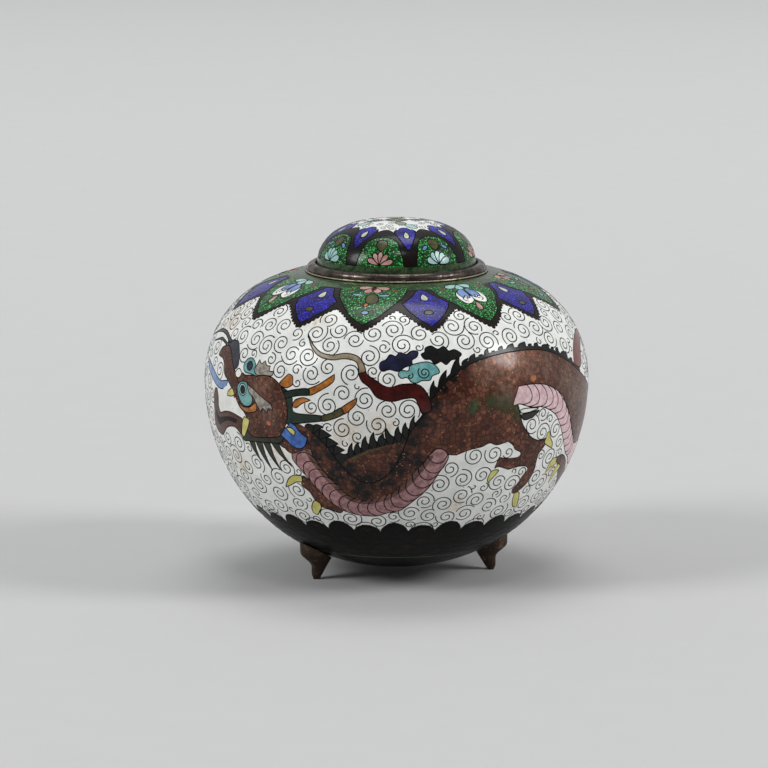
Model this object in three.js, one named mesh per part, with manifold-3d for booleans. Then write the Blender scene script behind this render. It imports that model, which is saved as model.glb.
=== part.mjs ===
// A globular cloisonne enamel box with a domed lid, on three small cast feet.
// Millimetres, +Z up. The origin is on the table, under the middle of the body.
import * as THREE from "three";
import { mergeVertices } from "three/addons/utils/BufferGeometryUtils.js";
import Module from "manifold-3d";

const wasm = await Module();
wasm.setup();

// Body: an enamelled copper shell, flatter above its widest line than below it.
const bodyRadius = 62.5;
const bodyWall = 2.2; // copper, enamel outside and counter enamel inside
const bellyClearance = 2.1; // from the table to the lowest point of the body
const bodyLowerDepth = 60.5; // from the widest line down to the lowest point
const bodyUpperRise = 37.7; // from the widest line up to where the shoulder would close
const upperRoundness = { across: 3.37, up: 2.085 }; // 2 is an ellipse, more is squarer
const lowerRoundness = { across: 2.17, up: 1.94 };

// Mouth ring: a copper moulding on the shoulder that the lid drops into.
const mouthRadius = 24.8; // the hole in the body
const spigotWall = 1.5;
const spigotDepth = 3.6; // how far the ring reaches down into the mouth
const ledgeWidth = 3.3; // the flat that carries the lid, from the spigot's bore out to the lip
const ledgeDrop = 1.3; // from the top of the lip down to the ledge
const lipWidth = 0.9; // the flat top of the lip
const mouldingWidth = 1.8; // from the lip's flat top out to the widest of the moulding
const beadWidth = 0.8; // how far the bright bead at the ring's foot stands out past the moulding
const beadHeight = 0.7;
const ringHeight = 2.7; // from the ring's foot to the top of the lip

// Lid: a hollow enamelled dome.
const lidClearance = 0.4; // between the lid's edge and the lip, all round
const lidRise = 14.9;
const lidWall = 2.0;
const lidRoundness = { across: 2.82, up: 2.2 };

// Feet: cast copper, rounded, with a knee outside and a straight back.
const footCircleRadius = 31.0; // the middle of each toe
const footAngles = { foot_left: -57, foot_right: 86, foot_back: 194.5 }; // from the front, to the right
const toeRadius = 1.1;
const toeRoundHeight = 1.6; // where the toe's rounded edge ends
const ankleHeight = 4.2;
const ankleRadius = 1.55; // how far the ankle stands out from the toe's middle
const kneeHeight = 9.0;
const kneeReach = 5.4; // how far the knee stands out from the toe's middle
const backSlope = 0.62; // how fast the back of the foot runs in under the body
const footSideShare = 0.84; // width across, as a share of the depth from back to front

// Clearances between separate pieces
const seatGap = 0.1; // under pieces that rest flat
const solderGap = 0.3; // between a foot and the curved underside
const spigotGap = 0.3;

// How finely the round forms are cut
const turns = 64;
const outlineSteps = 11;
const innerSteps = 6;
const lidSteps = 8;
const footSides = 18;
const footSteps = 10;

const widestHeight = bellyClearance + bodyLowerDepth;

const copper = new THREE.MeshStandardMaterial({ color: 0x4a3a30, roughness: 0.42, metalness: 0.9 });
const castCopper = new THREE.MeshStandardMaterial({ color: 0x3b2a20, roughness: 0.5, metalness: 0.85 });
const bodyEnamel = new THREE.MeshStandardMaterial({ color: 0xe6e6e0, roughness: 0.22, metalness: 0.0 });
const lidEnamel = new THREE.MeshStandardMaterial({ color: 0x1f5a2c, roughness: 0.2, metalness: 0.0 });

// A point of a quarter outline: angle 0 is at the widest line, a right angle is on the axis.
function quarter(radius, rise, roundness, angle) {
  return new THREE.Vector2(
    radius * Math.max(Math.cos(angle), 0) ** (2 / roundness.across),
    rise * Math.sin(angle) ** (2 / roundness.up),
  );
}

// The angle at which a quarter outline has come in to the distance given from the axis.
function angleAt(distance, radius, roundness) {
  return Math.acos((distance / radius) ** (roundness.across / 2));
}

function bodyPoint(angle) {
  const lower = angle < 0;
  const rise = lower ? bodyLowerDepth : bodyUpperRise;
  const p = quarter(bodyRadius, rise, lower ? lowerRoundness : upperRoundness, Math.abs(angle));
  return new THREE.Vector2(p.x, widestHeight + (lower ? -p.y : p.y));
}

function lidPoint(angle) {
  const p = quarter(lidRadius, lidRise, lidRoundness, angle);
  return new THREE.Vector2(p.x, lidBase + p.y);
}

// The point that lies the given depth inside an outline, square to it.
function inside(pointAt, angle, depth) {
  const step = 1e-3;
  const before = pointAt(Math.max(angle - step, -Math.PI / 2 + 1e-6));
  const after = pointAt(Math.min(angle + step, Math.PI / 2 - 1e-6));
  const along = after.sub(before).normalize();
  const p = pointAt(angle);
  return new THREE.Vector2(p.x - along.y * depth, p.y + along.x * depth);
}

// Where an inner outline has come in to the distance given from the axis.
function insideAt(pointAt, depth, distance) {
  let low = 0.2;
  let high = Math.PI / 2 - 1e-3;
  for (let i = 0; i < 40; i++) {
    const middle = (low + high) / 2;
    if (inside(pointAt, middle, depth).x > distance) low = middle;
    else high = middle;
  }
  return low;
}

function spread(from, to, steps) {
  return Array.from({ length: steps + 1 }, (_, i) => from + ((to - from) * i) / steps);
}

const spigotRadius = mouthRadius - spigotGap;
const spigotBore = spigotRadius - spigotWall;
const lipInnerRadius = spigotBore + ledgeWidth;
const lipOuterRadius = lipInnerRadius + lipWidth;
const ringRadius = lipOuterRadius + mouldingWidth;
const ringFootRadius = ringRadius + beadWidth;
const mouthAngle = angleAt(ringFootRadius, bodyRadius, upperRoundness);
const seatHeight = bodyPoint(mouthAngle).y;
const ringBase = seatHeight + seatGap;
const ringTop = ringBase + ringHeight;
const ledgeHeight = ringTop - ledgeDrop;
const lidRadius = lipInnerRadius - lidClearance;
const lidBase = ledgeHeight + seatGap;

// A solid turned about the upright axis from its outline, listed anticlockwise.
function turned(outline) {
  return new THREE.LatheGeometry(outline, turns).rotateX(Math.PI / 2);
}

function bodyShell() {
  const outer = [
    ...spread(-Math.PI / 2, 0, outlineSteps),
    ...spread(0, mouthAngle, outlineSteps).slice(1),
  ].map(bodyPoint);
  outer[0].x = 0;
  const innerMouth = insideAt(bodyPoint, bodyWall, mouthRadius);
  const inner = [
    ...spread(innerMouth, 0, innerSteps),
    ...spread(0, -Math.PI / 2, innerSteps).slice(1),
  ].map((angle) => inside(bodyPoint, angle, bodyWall));
  inner[0].x = mouthRadius;
  inner.at(-1).set(0, bellyClearance + bodyWall);
  return turned([...outer, new THREE.Vector2(mouthRadius, seatHeight), ...inner]);
}

function mouthRing() {
  const beadRound = beadHeight / 2;
  const bead = spread(-Math.PI / 2, Math.PI / 2, 4).map(
    (a) => new THREE.Vector2(ringFootRadius - beadRound + beadRound * Math.cos(a),
      ringBase + beadRound + beadRound * Math.sin(a)),
  );
  const moulding = spread(0, Math.PI / 2, 5).map(
    (a) => new THREE.Vector2(lipOuterRadius + mouldingWidth * Math.cos(a),
      ringBase + beadHeight + (ringHeight - beadHeight) * Math.sin(a)),
  );
  const rest = [
    [lipInnerRadius, ringTop],
    [lipInnerRadius, ledgeHeight],
    [spigotBore, ledgeHeight],
    [spigotBore, seatHeight - spigotDepth],
    [spigotRadius, seatHeight - spigotDepth],
    [spigotRadius, ringBase],
  ].map(([r, z]) => new THREE.Vector2(r, z));
  const outline = [...bead, ...moulding, ...rest];
  return turned([...outline, outline[0].clone()]);
}

function lidShell() {
  const outer = spread(0, Math.PI / 2, lidSteps).map(lidPoint);
  outer.at(-1).x = 0;
  const inner = spread(Math.PI / 2, 0, lidSteps - 2).map((angle) => inside(lidPoint, angle, lidWall));
  inner[0].set(0, lidBase + lidRise - lidWall);
  inner.at(-1).set(lidRadius - lidWall, lidBase);
  return turned([...outer, ...inner, outer[0].clone()]);
}

// The body's outer form as one solid block, grown by the solder gap.
function bodyBlock() {
  const outline = spread(-Math.PI / 2, Math.PI / 2, 2 * outlineSteps).map(
    (angle) => inside(bodyPoint, angle, -solderGap),
  );
  outline[0].x = 0;
  outline.at(-1).x = 0;
  return turned(outline);
}

// Half the depth of the foot and the middle of its section, at a height above the table.
function footSection(height) {
  const share = THREE.MathUtils.smoothstep(height, ankleHeight, kneeHeight);
  const toeRound = THREE.MathUtils.smoothstep(height, 0, toeRoundHeight);
  const front = THREE.MathUtils.lerp(toeRadius, ankleRadius, toeRound)
    + (kneeReach - ankleRadius) * share;
  const back = -toeRadius - backSlope * height;
  const depth = (front - back) / 2;
  return { middle: footCircleRadius + (front + back) / 2, depth, side: depth * footSideShare };
}

// A foot as a stack of oval sections from the toe up into the body.
function footBlank() {
  const reach = footCircleRadius + kneeReach;
  const top = bodyPoint(-angleAt(reach, bodyRadius, lowerRoundness)).y + bodyWall;
  const heights = spread(0, 1, footSteps).map((share) => top * share);
  const position = [];
  for (const height of heights) {
    const { middle, depth, side } = footSection(height);
    for (let i = 0; i < footSides; i++) {
      const a = (2 * Math.PI * i) / footSides;
      position.push(middle + depth * Math.cos(a), side * Math.sin(a), height);
    }
  }
  const toe = position.length / 3;
  position.push(footSection(0).middle, 0, 0, footSection(top).middle, 0, top);
  const index = [];
  for (let i = 0; i < footSides; i++) {
    const next = (i + 1) % footSides;
    for (let level = 0; level < footSteps; level++) {
      const [a, b] = [level * footSides + i, level * footSides + next];
      index.push(a, b, b + footSides, a, b + footSides, a + footSides);
    }
    index.push(toe, next, i);
    index.push(toe + 1, footSteps * footSides + i, footSteps * footSides + next);
  }
  const geometry = new THREE.BufferGeometry();
  geometry.setAttribute("position", new THREE.Float32BufferAttribute(position, 3));
  geometry.setIndex(index);
  return geometry;
}

function solidFrom(geometry) {
  const bare = geometry.clone();
  bare.deleteAttribute("normal");
  bare.deleteAttribute("uv");
  const merged = mergeVertices(bare, 1e-4);
  return new wasm.Manifold(new wasm.Mesh({
    numProp: 3,
    vertProperties: new Float32Array(merged.attributes.position.array),
    triVerts: new Uint32Array(merged.index.array),
  }));
}

function geometryFrom(solid) {
  const mesh = solid.getMesh();
  const geometry = new THREE.BufferGeometry();
  geometry.setAttribute("position", new THREE.Float32BufferAttribute(mesh.vertProperties, 3));
  geometry.setIndex(new THREE.BufferAttribute(mesh.triVerts, 1));
  return geometry;
}

// The foot that stands at the angle given, cut to the curve of the body above it.
function foot(angle) {
  const turn = THREE.MathUtils.degToRad(angle) - Math.PI / 2;
  const blank = solidFrom(footBlank().rotateZ(turn));
  return geometryFrom(blank.subtract(solidFrom(bodyBlock())));
}

function piece(name, geometry, material) {
  const mesh = new THREE.Mesh(geometry, material);
  mesh.name = name;
  return mesh;
}

const box = new THREE.Group();
box.add(piece("body_shell", bodyShell(), bodyEnamel));
box.add(piece("mouth_ring", mouthRing(), copper));
box.add(piece("lid", lidShell(), lidEnamel));
for (const [name, angle] of Object.entries(footAngles)) {
  box.add(piece(name, foot(angle), castCopper));
}

export default box;
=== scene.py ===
"""A globular cloisonne enamel box with a domed lid on three small cast feet.

The picture in the enamel is laid out flat: degrees round the box from its front, to the right, and
millimetres up the body's outline from its widest line, or out over the lid from its middle.
"""
import math
import random

import bpy
import numpy as np
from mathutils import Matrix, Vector
from mathutils.geometry import delaunay_2d_cdt
from mathutils.kdtree import KDTree


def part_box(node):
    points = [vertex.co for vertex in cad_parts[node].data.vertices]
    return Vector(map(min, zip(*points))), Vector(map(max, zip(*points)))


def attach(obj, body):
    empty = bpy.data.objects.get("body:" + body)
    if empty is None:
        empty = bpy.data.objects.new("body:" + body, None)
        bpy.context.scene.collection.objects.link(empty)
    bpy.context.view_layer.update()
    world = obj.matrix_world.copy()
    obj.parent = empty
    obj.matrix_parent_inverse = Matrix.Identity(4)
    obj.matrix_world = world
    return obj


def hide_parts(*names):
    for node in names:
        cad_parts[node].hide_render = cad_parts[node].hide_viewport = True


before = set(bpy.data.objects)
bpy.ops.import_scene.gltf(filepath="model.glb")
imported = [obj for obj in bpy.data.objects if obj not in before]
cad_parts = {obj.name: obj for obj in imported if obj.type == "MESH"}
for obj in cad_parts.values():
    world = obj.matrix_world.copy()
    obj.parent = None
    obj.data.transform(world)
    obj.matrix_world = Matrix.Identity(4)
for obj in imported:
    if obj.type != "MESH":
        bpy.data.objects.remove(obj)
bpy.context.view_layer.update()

MM = 0.001

# Sizes in millimetres, from the solids
shell_low, shell_high = (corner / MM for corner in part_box("body_shell"))
lid_low, lid_high = (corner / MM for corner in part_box("lid"))
ring_low, ring_high = (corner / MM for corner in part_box("mouth_ring"))
BODY_RADIUS = shell_high.x
BODY_FOOT, SEAT = shell_low.z, shell_high.z
RING_FOOT_RADIUS = ring_high.x
LID_RADIUS, LID_BASE, LID_TOP = lid_high.x, lid_low.z, lid_high.z

# Sizes in millimetres that the solids' corners don't give
WIDEST = 62.6  # height of the body's widest line
UPPER_RISE = 37.7  # from the widest line up to where the shoulder would close
UPPER_ROUNDNESS = (3.37, 2.085)
LOWER_ROUNDNESS = (2.17, 1.94)
LID_ROUNDNESS = (2.82, 2.2)
BODY_WALL, LID_WALL = 2.2, 2.0
MOUTH_RADIUS = 24.8
ENAMEL_DEPTH = 0.06  # the enamel is polished this far below the outermost line
WIRE, PLATE_WIRE, LID_WIRE, BASE_WIRE = 0.46, 0.42, 0.36, 0.22
TURNS, LID_TURNS = 256, 160  # steps round the body and the lid
COLLAR_TOP = 48.2  # on the body, mm up from the widest line
BASE_TOP = -45.2
UNDERSIDE_RADIUS = 18.0  # the picture ends here under the body
FOOT_CIRCLE = 31.0
TOE, ANKLE, KNEE = 1.1, 1.55, 5.4  # how far the foot's front stands out at each, from the toe's axis
BACK_SLOPE, FOOT_SIDE = 0.62, 0.84
FOOT_PLACES = {"left": -57.0, "right": 86.0, "back": 194.5}
FOOT_SINK = 0.28  # how far the feet are cut clear of the body's outline
RING_BASE, BEAD = 98.88, 0.26
LIP_RADIUS, LIP_CHAMFER = 28.2, 0.25
SPIGOT_FOOT = 97.3


def quarter(radius, rise, roundness, steps=1500):
    """A quarter outline from its widest line, at angle 0, to the axis."""
    angle = np.linspace(0, math.pi / 2, steps)
    across, up = roundness
    r = radius * np.maximum(np.cos(angle), 0) ** (2 / across)
    return r, rise * np.sin(angle) ** (2 / up)


class Outline:
    """A turned outline from below upward: radius, height and outward normal by length along it."""

    def __init__(self, r, z, zero_height):
        self.r, self.z = r, z
        length = np.concatenate([[0], np.cumsum(np.hypot(np.diff(r), np.diff(z)))])
        self.s = length - np.interp(zero_height, z, length)
        dr, dz = np.gradient(r, self.s), np.gradient(z, self.s)
        size = np.hypot(dr, dz)
        self.nr, self.nz = dz / size, -dr / size

    def at(self, s, lift=0.0):
        r, z, nr, nz = (np.interp(s, self.s, values) for values in (self.r, self.z, self.nr, self.nz))
        return r + lift * nr, z + lift * nz, nr, nz

    def length_at_radius(self, radius, upper):
        part = self.s > 0 if upper else self.s <= 0
        r, s = self.r[part], self.s[part]
        order = np.argsort(r)
        return float(np.interp(radius, r[order], s[order]))


def body_outline():
    low_r, low_z = quarter(BODY_RADIUS, WIDEST - BODY_FOOT, LOWER_ROUNDNESS)
    high_r, high_z = quarter(BODY_RADIUS, UPPER_RISE, UPPER_ROUNDNESS)
    r = np.concatenate([low_r[::-1], high_r[1:]])
    z = np.concatenate([WIDEST - low_z[::-1], WIDEST + high_z[1:]])
    return Outline(r, z, WIDEST)


def lid_outline():
    r, z = quarter(LID_RADIUS, LID_TOP - LID_BASE, LID_ROUNDNESS)
    return Outline(r, LID_BASE + z, LID_BASE)


class SideMap:
    """Lays the picture round the body. Flat x is mm along the widest line, flat y mm up the outline."""

    def __init__(self, outline):
        self.outline = outline
        self.per_degree = math.radians(BODY_RADIUS)
        self.round = 360 * self.per_degree

    def spot(self, degrees, up):
        return degrees * self.per_degree, up

    def widening(self, up):
        """How many flat mm one real mm across takes."""
        return BODY_RADIUS / float(self.outline.at(up)[0])

    def place(self, points, lift):
        r, z, nr, nz = self.outline.at(points[:, 1], lift)
        angle = points[:, 0] / BODY_RADIUS
        sin, cos = np.sin(angle), np.cos(angle)
        return (np.stack([r * sin, -r * cos, z], 1) * MM, np.stack([nr * sin, -nr * cos, nz], 1))

    def texture_place(self, points):
        low, high = TEXTURE_ROWS
        up = (points[:, 1] - LOWEST_INLAY) / (HIGHEST_INLAY - LOWEST_INLAY)
        return np.stack([points[:, 0] / self.round + 0.5, low + (high - low) * up], 1)


class DiscMap:
    """Lays the picture over the lid. Flat x and y are mm from the middle, the front is towards -y."""

    def __init__(self, outline):
        self.outline = outline
        self.reach = float(outline.s[-1])

    def spot(self, degrees, out):
        return out * math.sin(math.radians(degrees)), -out * math.cos(math.radians(degrees))

    def widening(self, out):
        return 1.0

    def place(self, points, lift):
        out = np.hypot(points[:, 0], points[:, 1])
        r, z, nr, nz = self.outline.at(self.reach - out, lift)
        safe = np.maximum(out, 1e-9)
        sin, cos = points[:, 0] / safe, -points[:, 1] / safe
        return (np.stack([r * sin, -r * cos, z], 1) * MM, np.stack([nr * sin, -nr * cos, nz], 1))

    def texture_place(self, points):
        return 0.36 + 0.34 * points / self.reach


TEXTURE_ROWS = (0.3, 1.0)  # the part of the texture that the body's picture takes
BODY = SideMap(body_outline())
LID = DiscMap(lid_outline())
HIGHEST_INLAY = BODY.outline.length_at_radius(RING_FOOT_RADIUS, True)
LOWEST_INLAY = BODY.outline.length_at_radius(UNDERSIDE_RADIUS, False)


# Lines and outlines

def curve(points, closed=False, step=0.55):
    """A smooth line through the points, with a point about every step."""
    p = np.asarray(points, float)
    n = len(p)
    spans = range(n if closed else n - 1)
    made = []
    for i in spans:
        b, c = p[i % n], p[(i + 1) % n]
        a = p[(i - 1) % n] if closed or i > 0 else 2 * b - c
        d = p[(i + 2) % n] if closed or i < n - 2 else 2 * c - b
        count = max(1, round(float(np.hypot(*(c - b))) / step))
        t = (np.arange(count) / count)[:, None]
        made.append(0.5 * (2 * b + (c - a) * t + (2 * a - 5 * b + 4 * c - d)
            * t ** 2 + (3 * b - a - 3 * c + d) * t ** 3))
    if not closed:
        made.append(p[-1:])
    return np.concatenate(made)


def spots(points, on):
    return [on.spot(u, v) for u, v in points]


def shape(*runs, on=BODY):
    """A closed outline. Each run is a smooth stretch, and the stretches meet in corners."""
    if len(runs) == 1:
        return curve(spots(runs[0], on), closed=True)
    parts = [curve(spots([*run, runs[(i + 1) % len(runs)][0]], on))[:-1] for i, run in enumerate(runs)]
    return np.concatenate(parts)


def bumpy(line, pitch, height):
    """A line with small round bumps to its left, as the edge of a scalloped cell."""
    step = np.hypot(*np.diff(line, axis=0).T)
    run = np.concatenate([[0], np.cumsum(step)])
    count = max(1, round(run[-1] / pitch))
    at = np.linspace(0, run[-1], count * 6 + 1)
    fine = np.stack([np.interp(at, run, line[:, 0]), np.interp(at, run, line[:, 1])], 1)
    along = np.gradient(fine, axis=0)
    along /= np.maximum(np.hypot(*along.T), 1e-9)[:, None]
    lift = height * np.abs(np.sin(math.pi * at / (run[-1] / count)))
    return fine + np.stack([-along[:, 1], along[:, 0]], 1) * lift[:, None]


def whirl(centre, radius, turns, start, way, on):
    """A scroll wound in from its outer end to a small hook, round on the real surface."""
    t = np.linspace(0, 1, max(14, round(turns * radius * 8)))
    angle = start + way * 2 * math.pi * turns * t
    out = radius * (1 - 0.84 * t ** 0.86)
    across = on.widening(centre[1])
    return np.stack([centre[0] + out * np.cos(angle) * across, centre[1] + out * np.sin(angle)], 1)


def is_inside(points, polygon):
    low, high = polygon.min(0), polygon.max(0)
    found = np.zeros(len(points), bool)
    near = np.all((points >= low) & (points <= high), axis=1)
    if not near.any():
        return found
    x, y = points[near].T
    hit = np.zeros(len(x), bool)
    for (ax, ay), (bx, by) in zip(polygon, np.roll(polygon, -1, 0)):
        if ay == by:
            continue
        hit ^= ((ay > y) != (by > y)) & (x < (bx - ax) * (y - ay) / (by - ay) + ax)
    found[near] = hit
    return found


class Picture:
    """Cells of enamel in the order they are laid, each over those before it, and the wires between them."""

    def __init__(self, on):
        self.on = on
        self.cells = []  # outline, enamel, whether it has a wire round it
        self.lines = []  # wires that bound no cell: points, width, how many cells lie under them

    def copies(self, points):
        """The outline, and its copies past the seam at the back where it reaches over it."""
        made = [points]
        if self.on is BODY and points[:, 0].max() - points[:, 0].min() < self.on.round:
            half = self.on.round / 2
            for shift in (-self.on.round, self.on.round):
                moved = points + np.array([shift, 0])
                if moved[:, 0].max() > -half and moved[:, 0].min() < half:
                    made.append(moved)
        return made

    def cell(self, points, enamel, wired=True):
        for copy in self.copies(points):
            self.cells.append((copy, enamel, wired))

    def line(self, points, width=WIRE):
        for copy in self.copies(np.asarray(points, float)):
            self.lines.append((copy, width, len(self.cells)))

    def petal(self, enamel, root, tip, width, point=0.0, wired=True):
        self.cell(petal_outline(root, tip, width, self.on, point), enamel, wired)

    def circle(self, enamel, out):
        self.cell(np.array([self.on.spot(u, out) for u in range(0, 360, 3)]), enamel)

    def scroll(self, place, radius, turns=1.5, start=0.4, way=1, width=WIRE):
        self.line(whirl(self.on.spot(*place), radius, turns, start, way, self.on), width)

    def covered(self, points, first=0):
        """Which points lie under a cell from the given one on."""
        hidden = np.zeros(len(points), bool)
        for outline, _, _ in self.cells[first:]:
            hidden |= is_inside(points, outline)
        return hidden

    def edge_wires(self):
        """The stretches of the cells' edges that no later cell covers."""
        made = []
        for number, (outline, _, wired) in enumerate(self.cells):
            if wired:
                closed = np.concatenate([outline, outline[:1]])
                shown = ~self.covered((closed[1:] + closed[:-1]) / 2, number + 1)
                made += [(part, WIRE) for part in stretches(closed, shown)]
        return made

    def free_wires(self, start=0, end=None):
        """The free lines from start to end, without what a later cell covers or lies past the seam."""
        made = []
        for points, width, under in self.lines[start:end]:
            shown = ~self.covered((points[1:] + points[:-1]) / 2, under)
            made += [(part, width) for part in stretches(points, shown)]
        return self.seam_cut(made)

    def seam_cut(self, wires):
        """The wires without their ends past the seam at the back."""
        if self.on is not BODY:
            return wires
        half = self.on.round / 2
        within = lambda p: np.abs((p[1:, 0] + p[:-1, 0]) / 2) <= half
        return [(part, width) for points, width in wires for part in stretches(points, within(points))]


def stretches(points, keep):
    """The runs of a line whose pieces are kept."""
    made, start = [], None
    for i, kept in enumerate([*keep, False]):
        if kept and start is None:
            start = i
        if not kept and start is not None:
            made.append(points[start:i + 1])
            start = None
    return made


# Meshes

def fresh(name, vertices, faces, materials=(), face_material=None):
    mesh = bpy.data.meshes.new(name)
    mesh.from_pydata(vertices, [], faces)
    for material in materials:
        mesh.materials.append(material)
    if face_material is not None:
        mesh.polygons.foreach_set("material_index", face_material)
    piece = bpy.data.objects.new(name, mesh)
    bpy.context.collection.objects.link(piece)
    return piece


def set_texture_places(piece, per_loop):
    layer = piece.data.uv_layers.new(name="OFBake")
    layer.data.foreach_set("uv", np.asarray(per_loop, np.float32).ravel())


def grid_points(on):
    """The points that carry the roundness, and the edge of the inlaid surface."""
    if on is BODY:
        half = on.round / 2
        columns = np.linspace(-half, half, TURNS + 1)
        rows = np.linspace(LOWEST_INLAY, HIGHEST_INLAY, round((HIGHEST_INLAY - LOWEST_INLAY) / 1.45) + 1)
        edge = [(x, rows[0]) for x in columns] + [(half, y) for y in rows[1:]]
        edge += [(x, rows[-1]) for x in columns[::-1][1:]] + [(-half, y) for y in rows[::-1][1:-1]]
        middle = columns[:-1] + (columns[1] - columns[0]) / 2
        inner = [(x, y) for k, y in enumerate(rows[1:-1]) for x in (middle if k % 2 else columns[1:-1])]
        return np.array(edge), np.array(inner)
    angles = np.linspace(0, 2 * math.pi, LID_TURNS, endpoint=False)
    edge = np.stack([on.reach * np.sin(angles), -on.reach * np.cos(angles)], 1)
    step = 1.1
    count = round(on.reach / step)
    inner = [(0.0, 0.0)]
    for k in range(1, count):
        out = on.reach * k / count
        steps = min(LID_TURNS, max(6, round(2 * math.pi * out / step)))
        turn = np.linspace(0, 2 * math.pi, steps, endpoint=False) + 0.5 * k
        inner += list(zip(out * np.sin(turn), -out * np.cos(turn)))
    return edge[::-1] if signed_area(edge) < 0 else edge, np.array(inner)


def signed_area(p):
    q = np.roll(p, -1, 0)
    return float((p[:, 0] * q[:, 1] - q[:, 0] * p[:, 1]).sum()) / 2


def inlaid_skin(name, picture, ground, materials):
    """The outer enamelled surface, cut into the cells of the picture."""
    on = picture.on
    edge, inner = grid_points(on)
    points = [edge, inner] + [outline for outline, _, _ in picture.cells]
    fences, count = [], 0
    for run in points:
        if run is not inner:
            fences += [(count + i, count + (i + 1) % len(run)) for i in range(len(run))]
        count += len(run)
    flat = [Vector(p) for p in np.concatenate(points).tolist()]
    made, _, triangles, _, _, _ = delaunay_2d_cdt(flat, fences, [], 0, 1e-5, False)
    flat = np.array([tuple(p) for p in made])
    triangles = np.array(triangles)
    middles = flat[triangles].mean(1)
    triangles = triangles[is_inside(middles, edge)]
    middles = flat[triangles].mean(1)
    names = list(dict.fromkeys([ground] + [enamel for _, enamel, _ in picture.cells]))
    slot_of = np.zeros(len(triangles), int)
    for outline, enamel, _ in picture.cells:
        slot_of[is_inside(middles, outline)] = names.index(enamel)
    used, kept = np.unique(triangles, return_inverse=True)
    kept = kept.reshape(-1, 3)
    flat = flat[used]
    place, normal = on.place(flat, -ENAMEL_DEPTH)
    a, b, c = (place[kept[:, i]] for i in range(3))
    inward = np.einsum("ij,ij->i", np.cross(b - a, c - a), normal[kept[:, 0]]) < 0
    kept[inward] = kept[inward][:, ::-1]
    piece = fresh(name, place.tolist(), kept.tolist(), [materials[e] for e in names], slot_of)
    piece.data.attributes.new("smooth_normal", "FLOAT_VECTOR", "POINT").data.foreach_set("vector",
        normal.astype(np.float32).ravel())
    places = on.texture_place(flat)
    set_texture_places(piece, places[kept.ravel()])
    return piece


def wire_piece(name, wires, on, material):
    """Flat wires as low ridges that stand in the enamel, one closed strip each."""
    vertices, faces, places = [], [], []
    for points, width in wires:
        if len(points) < 2:
            continue
        closed = len(points) > 3 and np.hypot(*(points[0] - points[-1])) < 1e-6
        if closed:
            points = points[:-1]
        crown, normal = on.place(points, -0.01)
        if closed:
            along = np.roll(crown, -1, 0) - np.roll(crown, 1, 0)
        else:
            along = np.gradient(crown, axis=0)
        side = np.cross(normal, along)
        side /= np.maximum(np.linalg.norm(side, axis=1), 1e-12)[:, None]
        foot = crown - normal * (ENAMEL_DEPTH + 0.01) * MM
        left, right = foot + side * width / 2 * MM, foot - side * width / 2 * MM
        first, n = len(vertices), len(points)
        vertices += np.stack([left, crown, right], 1).reshape(-1, 3).tolist()
        places += np.repeat(on.texture_place(points), 3, 0).tolist()
        for i in range(n if closed else n - 1):
            a, b = first + 3 * i, first + 3 * ((i + 1) % n)
            faces += [(a, a + 1, b + 1, b), (a + 1, a + 2, b + 2, b + 1), (a + 2, a, b, b + 2)]
        if not closed:
            last = first + 3 * (n - 1)
            faces += [(first, first + 2, first + 1), (last, last + 1, last + 2)]
    piece = fresh(name, vertices, faces, [material])
    piece.data.shade_smooth()
    loops = np.empty(len(piece.data.loops), int)
    piece.data.loops.foreach_get("vertex_index", loops)
    set_texture_places(piece, np.array(places)[loops])
    return piece


# Colours and finishes

def paint(*shade):
    """A colour from 0 to 255, adjusted against the photograph, as the shader's linear value."""
    return tuple(((c / 255 + 0.055) / 1.055) ** 2.4 if c > 10 else c / 3294.6 for c in shade) + (1.0,)


def socket(sockets, key):
    return next(s for s in sockets if s.identifier == key or s.name == key)


def node(tree, kind, inputs=(), **settings):
    made = tree.nodes.new("ShaderNode" + kind)
    for name, value in settings.items():
        setattr(made, name, value)
    for key, value in dict(inputs).items():
        into = socket(made.inputs, key)
        if isinstance(value, bpy.types.NodeSocket):
            tree.links.new(value, into)
        else:
            into.default_value = value
    return made


def math_node(tree, operation, a, b):
    return node(tree, "Math", {"Value": a, "Value_001": b}, operation=operation).outputs[0]


def times(tree, a, b):
    return math_node(tree, "MULTIPLY", a, b)


def object_place(tree):
    return node(tree, "TexCoord").outputs["Object"]


def noise(tree, where, size, detail, roughness=0.5):
    return node(tree, "TexNoise", {"Vector": where, "Scale": size, "Detail": detail,
        "Roughness": roughness}).outputs["Fac"]


def between(tree, value, low, high, to_low=0.0, to_high=1.0):
    """A value spread from one range to another, held at its ends."""
    ends = {"Value": value, "From Min": low, "From Max": high, "To Min": to_low, "To Max": to_high}
    return node(tree, "MapRange", ends, interpolation_type="SMOOTHSTEP").outputs["Result"]


def blended(tree, share, a, b):
    made = node(tree, "Mix", {"Factor_Float": share, "A_Color": a, "B_Color": b}, data_type="RGBA")
    return socket(made.outputs, "Result_Color")


def effect(name, inputs, outputs):
    """An empty node group with named sockets: its tree, where it starts and where it ends."""
    tree = bpy.data.node_groups.new(name, "ShaderNodeTree")
    for label, value in inputs.items():
        made = tree.interface.new_socket(name=label, in_out="INPUT", socket_type="NodeSocketFloat")
        made.default_value = value
    for label in outputs:
        tree.interface.new_socket(name=label, in_out="OUTPUT", socket_type="NodeSocketFloat")
    return tree, tree.nodes.new("NodeGroupInput").outputs, tree.nodes.new("NodeGroupOutput").inputs


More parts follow.
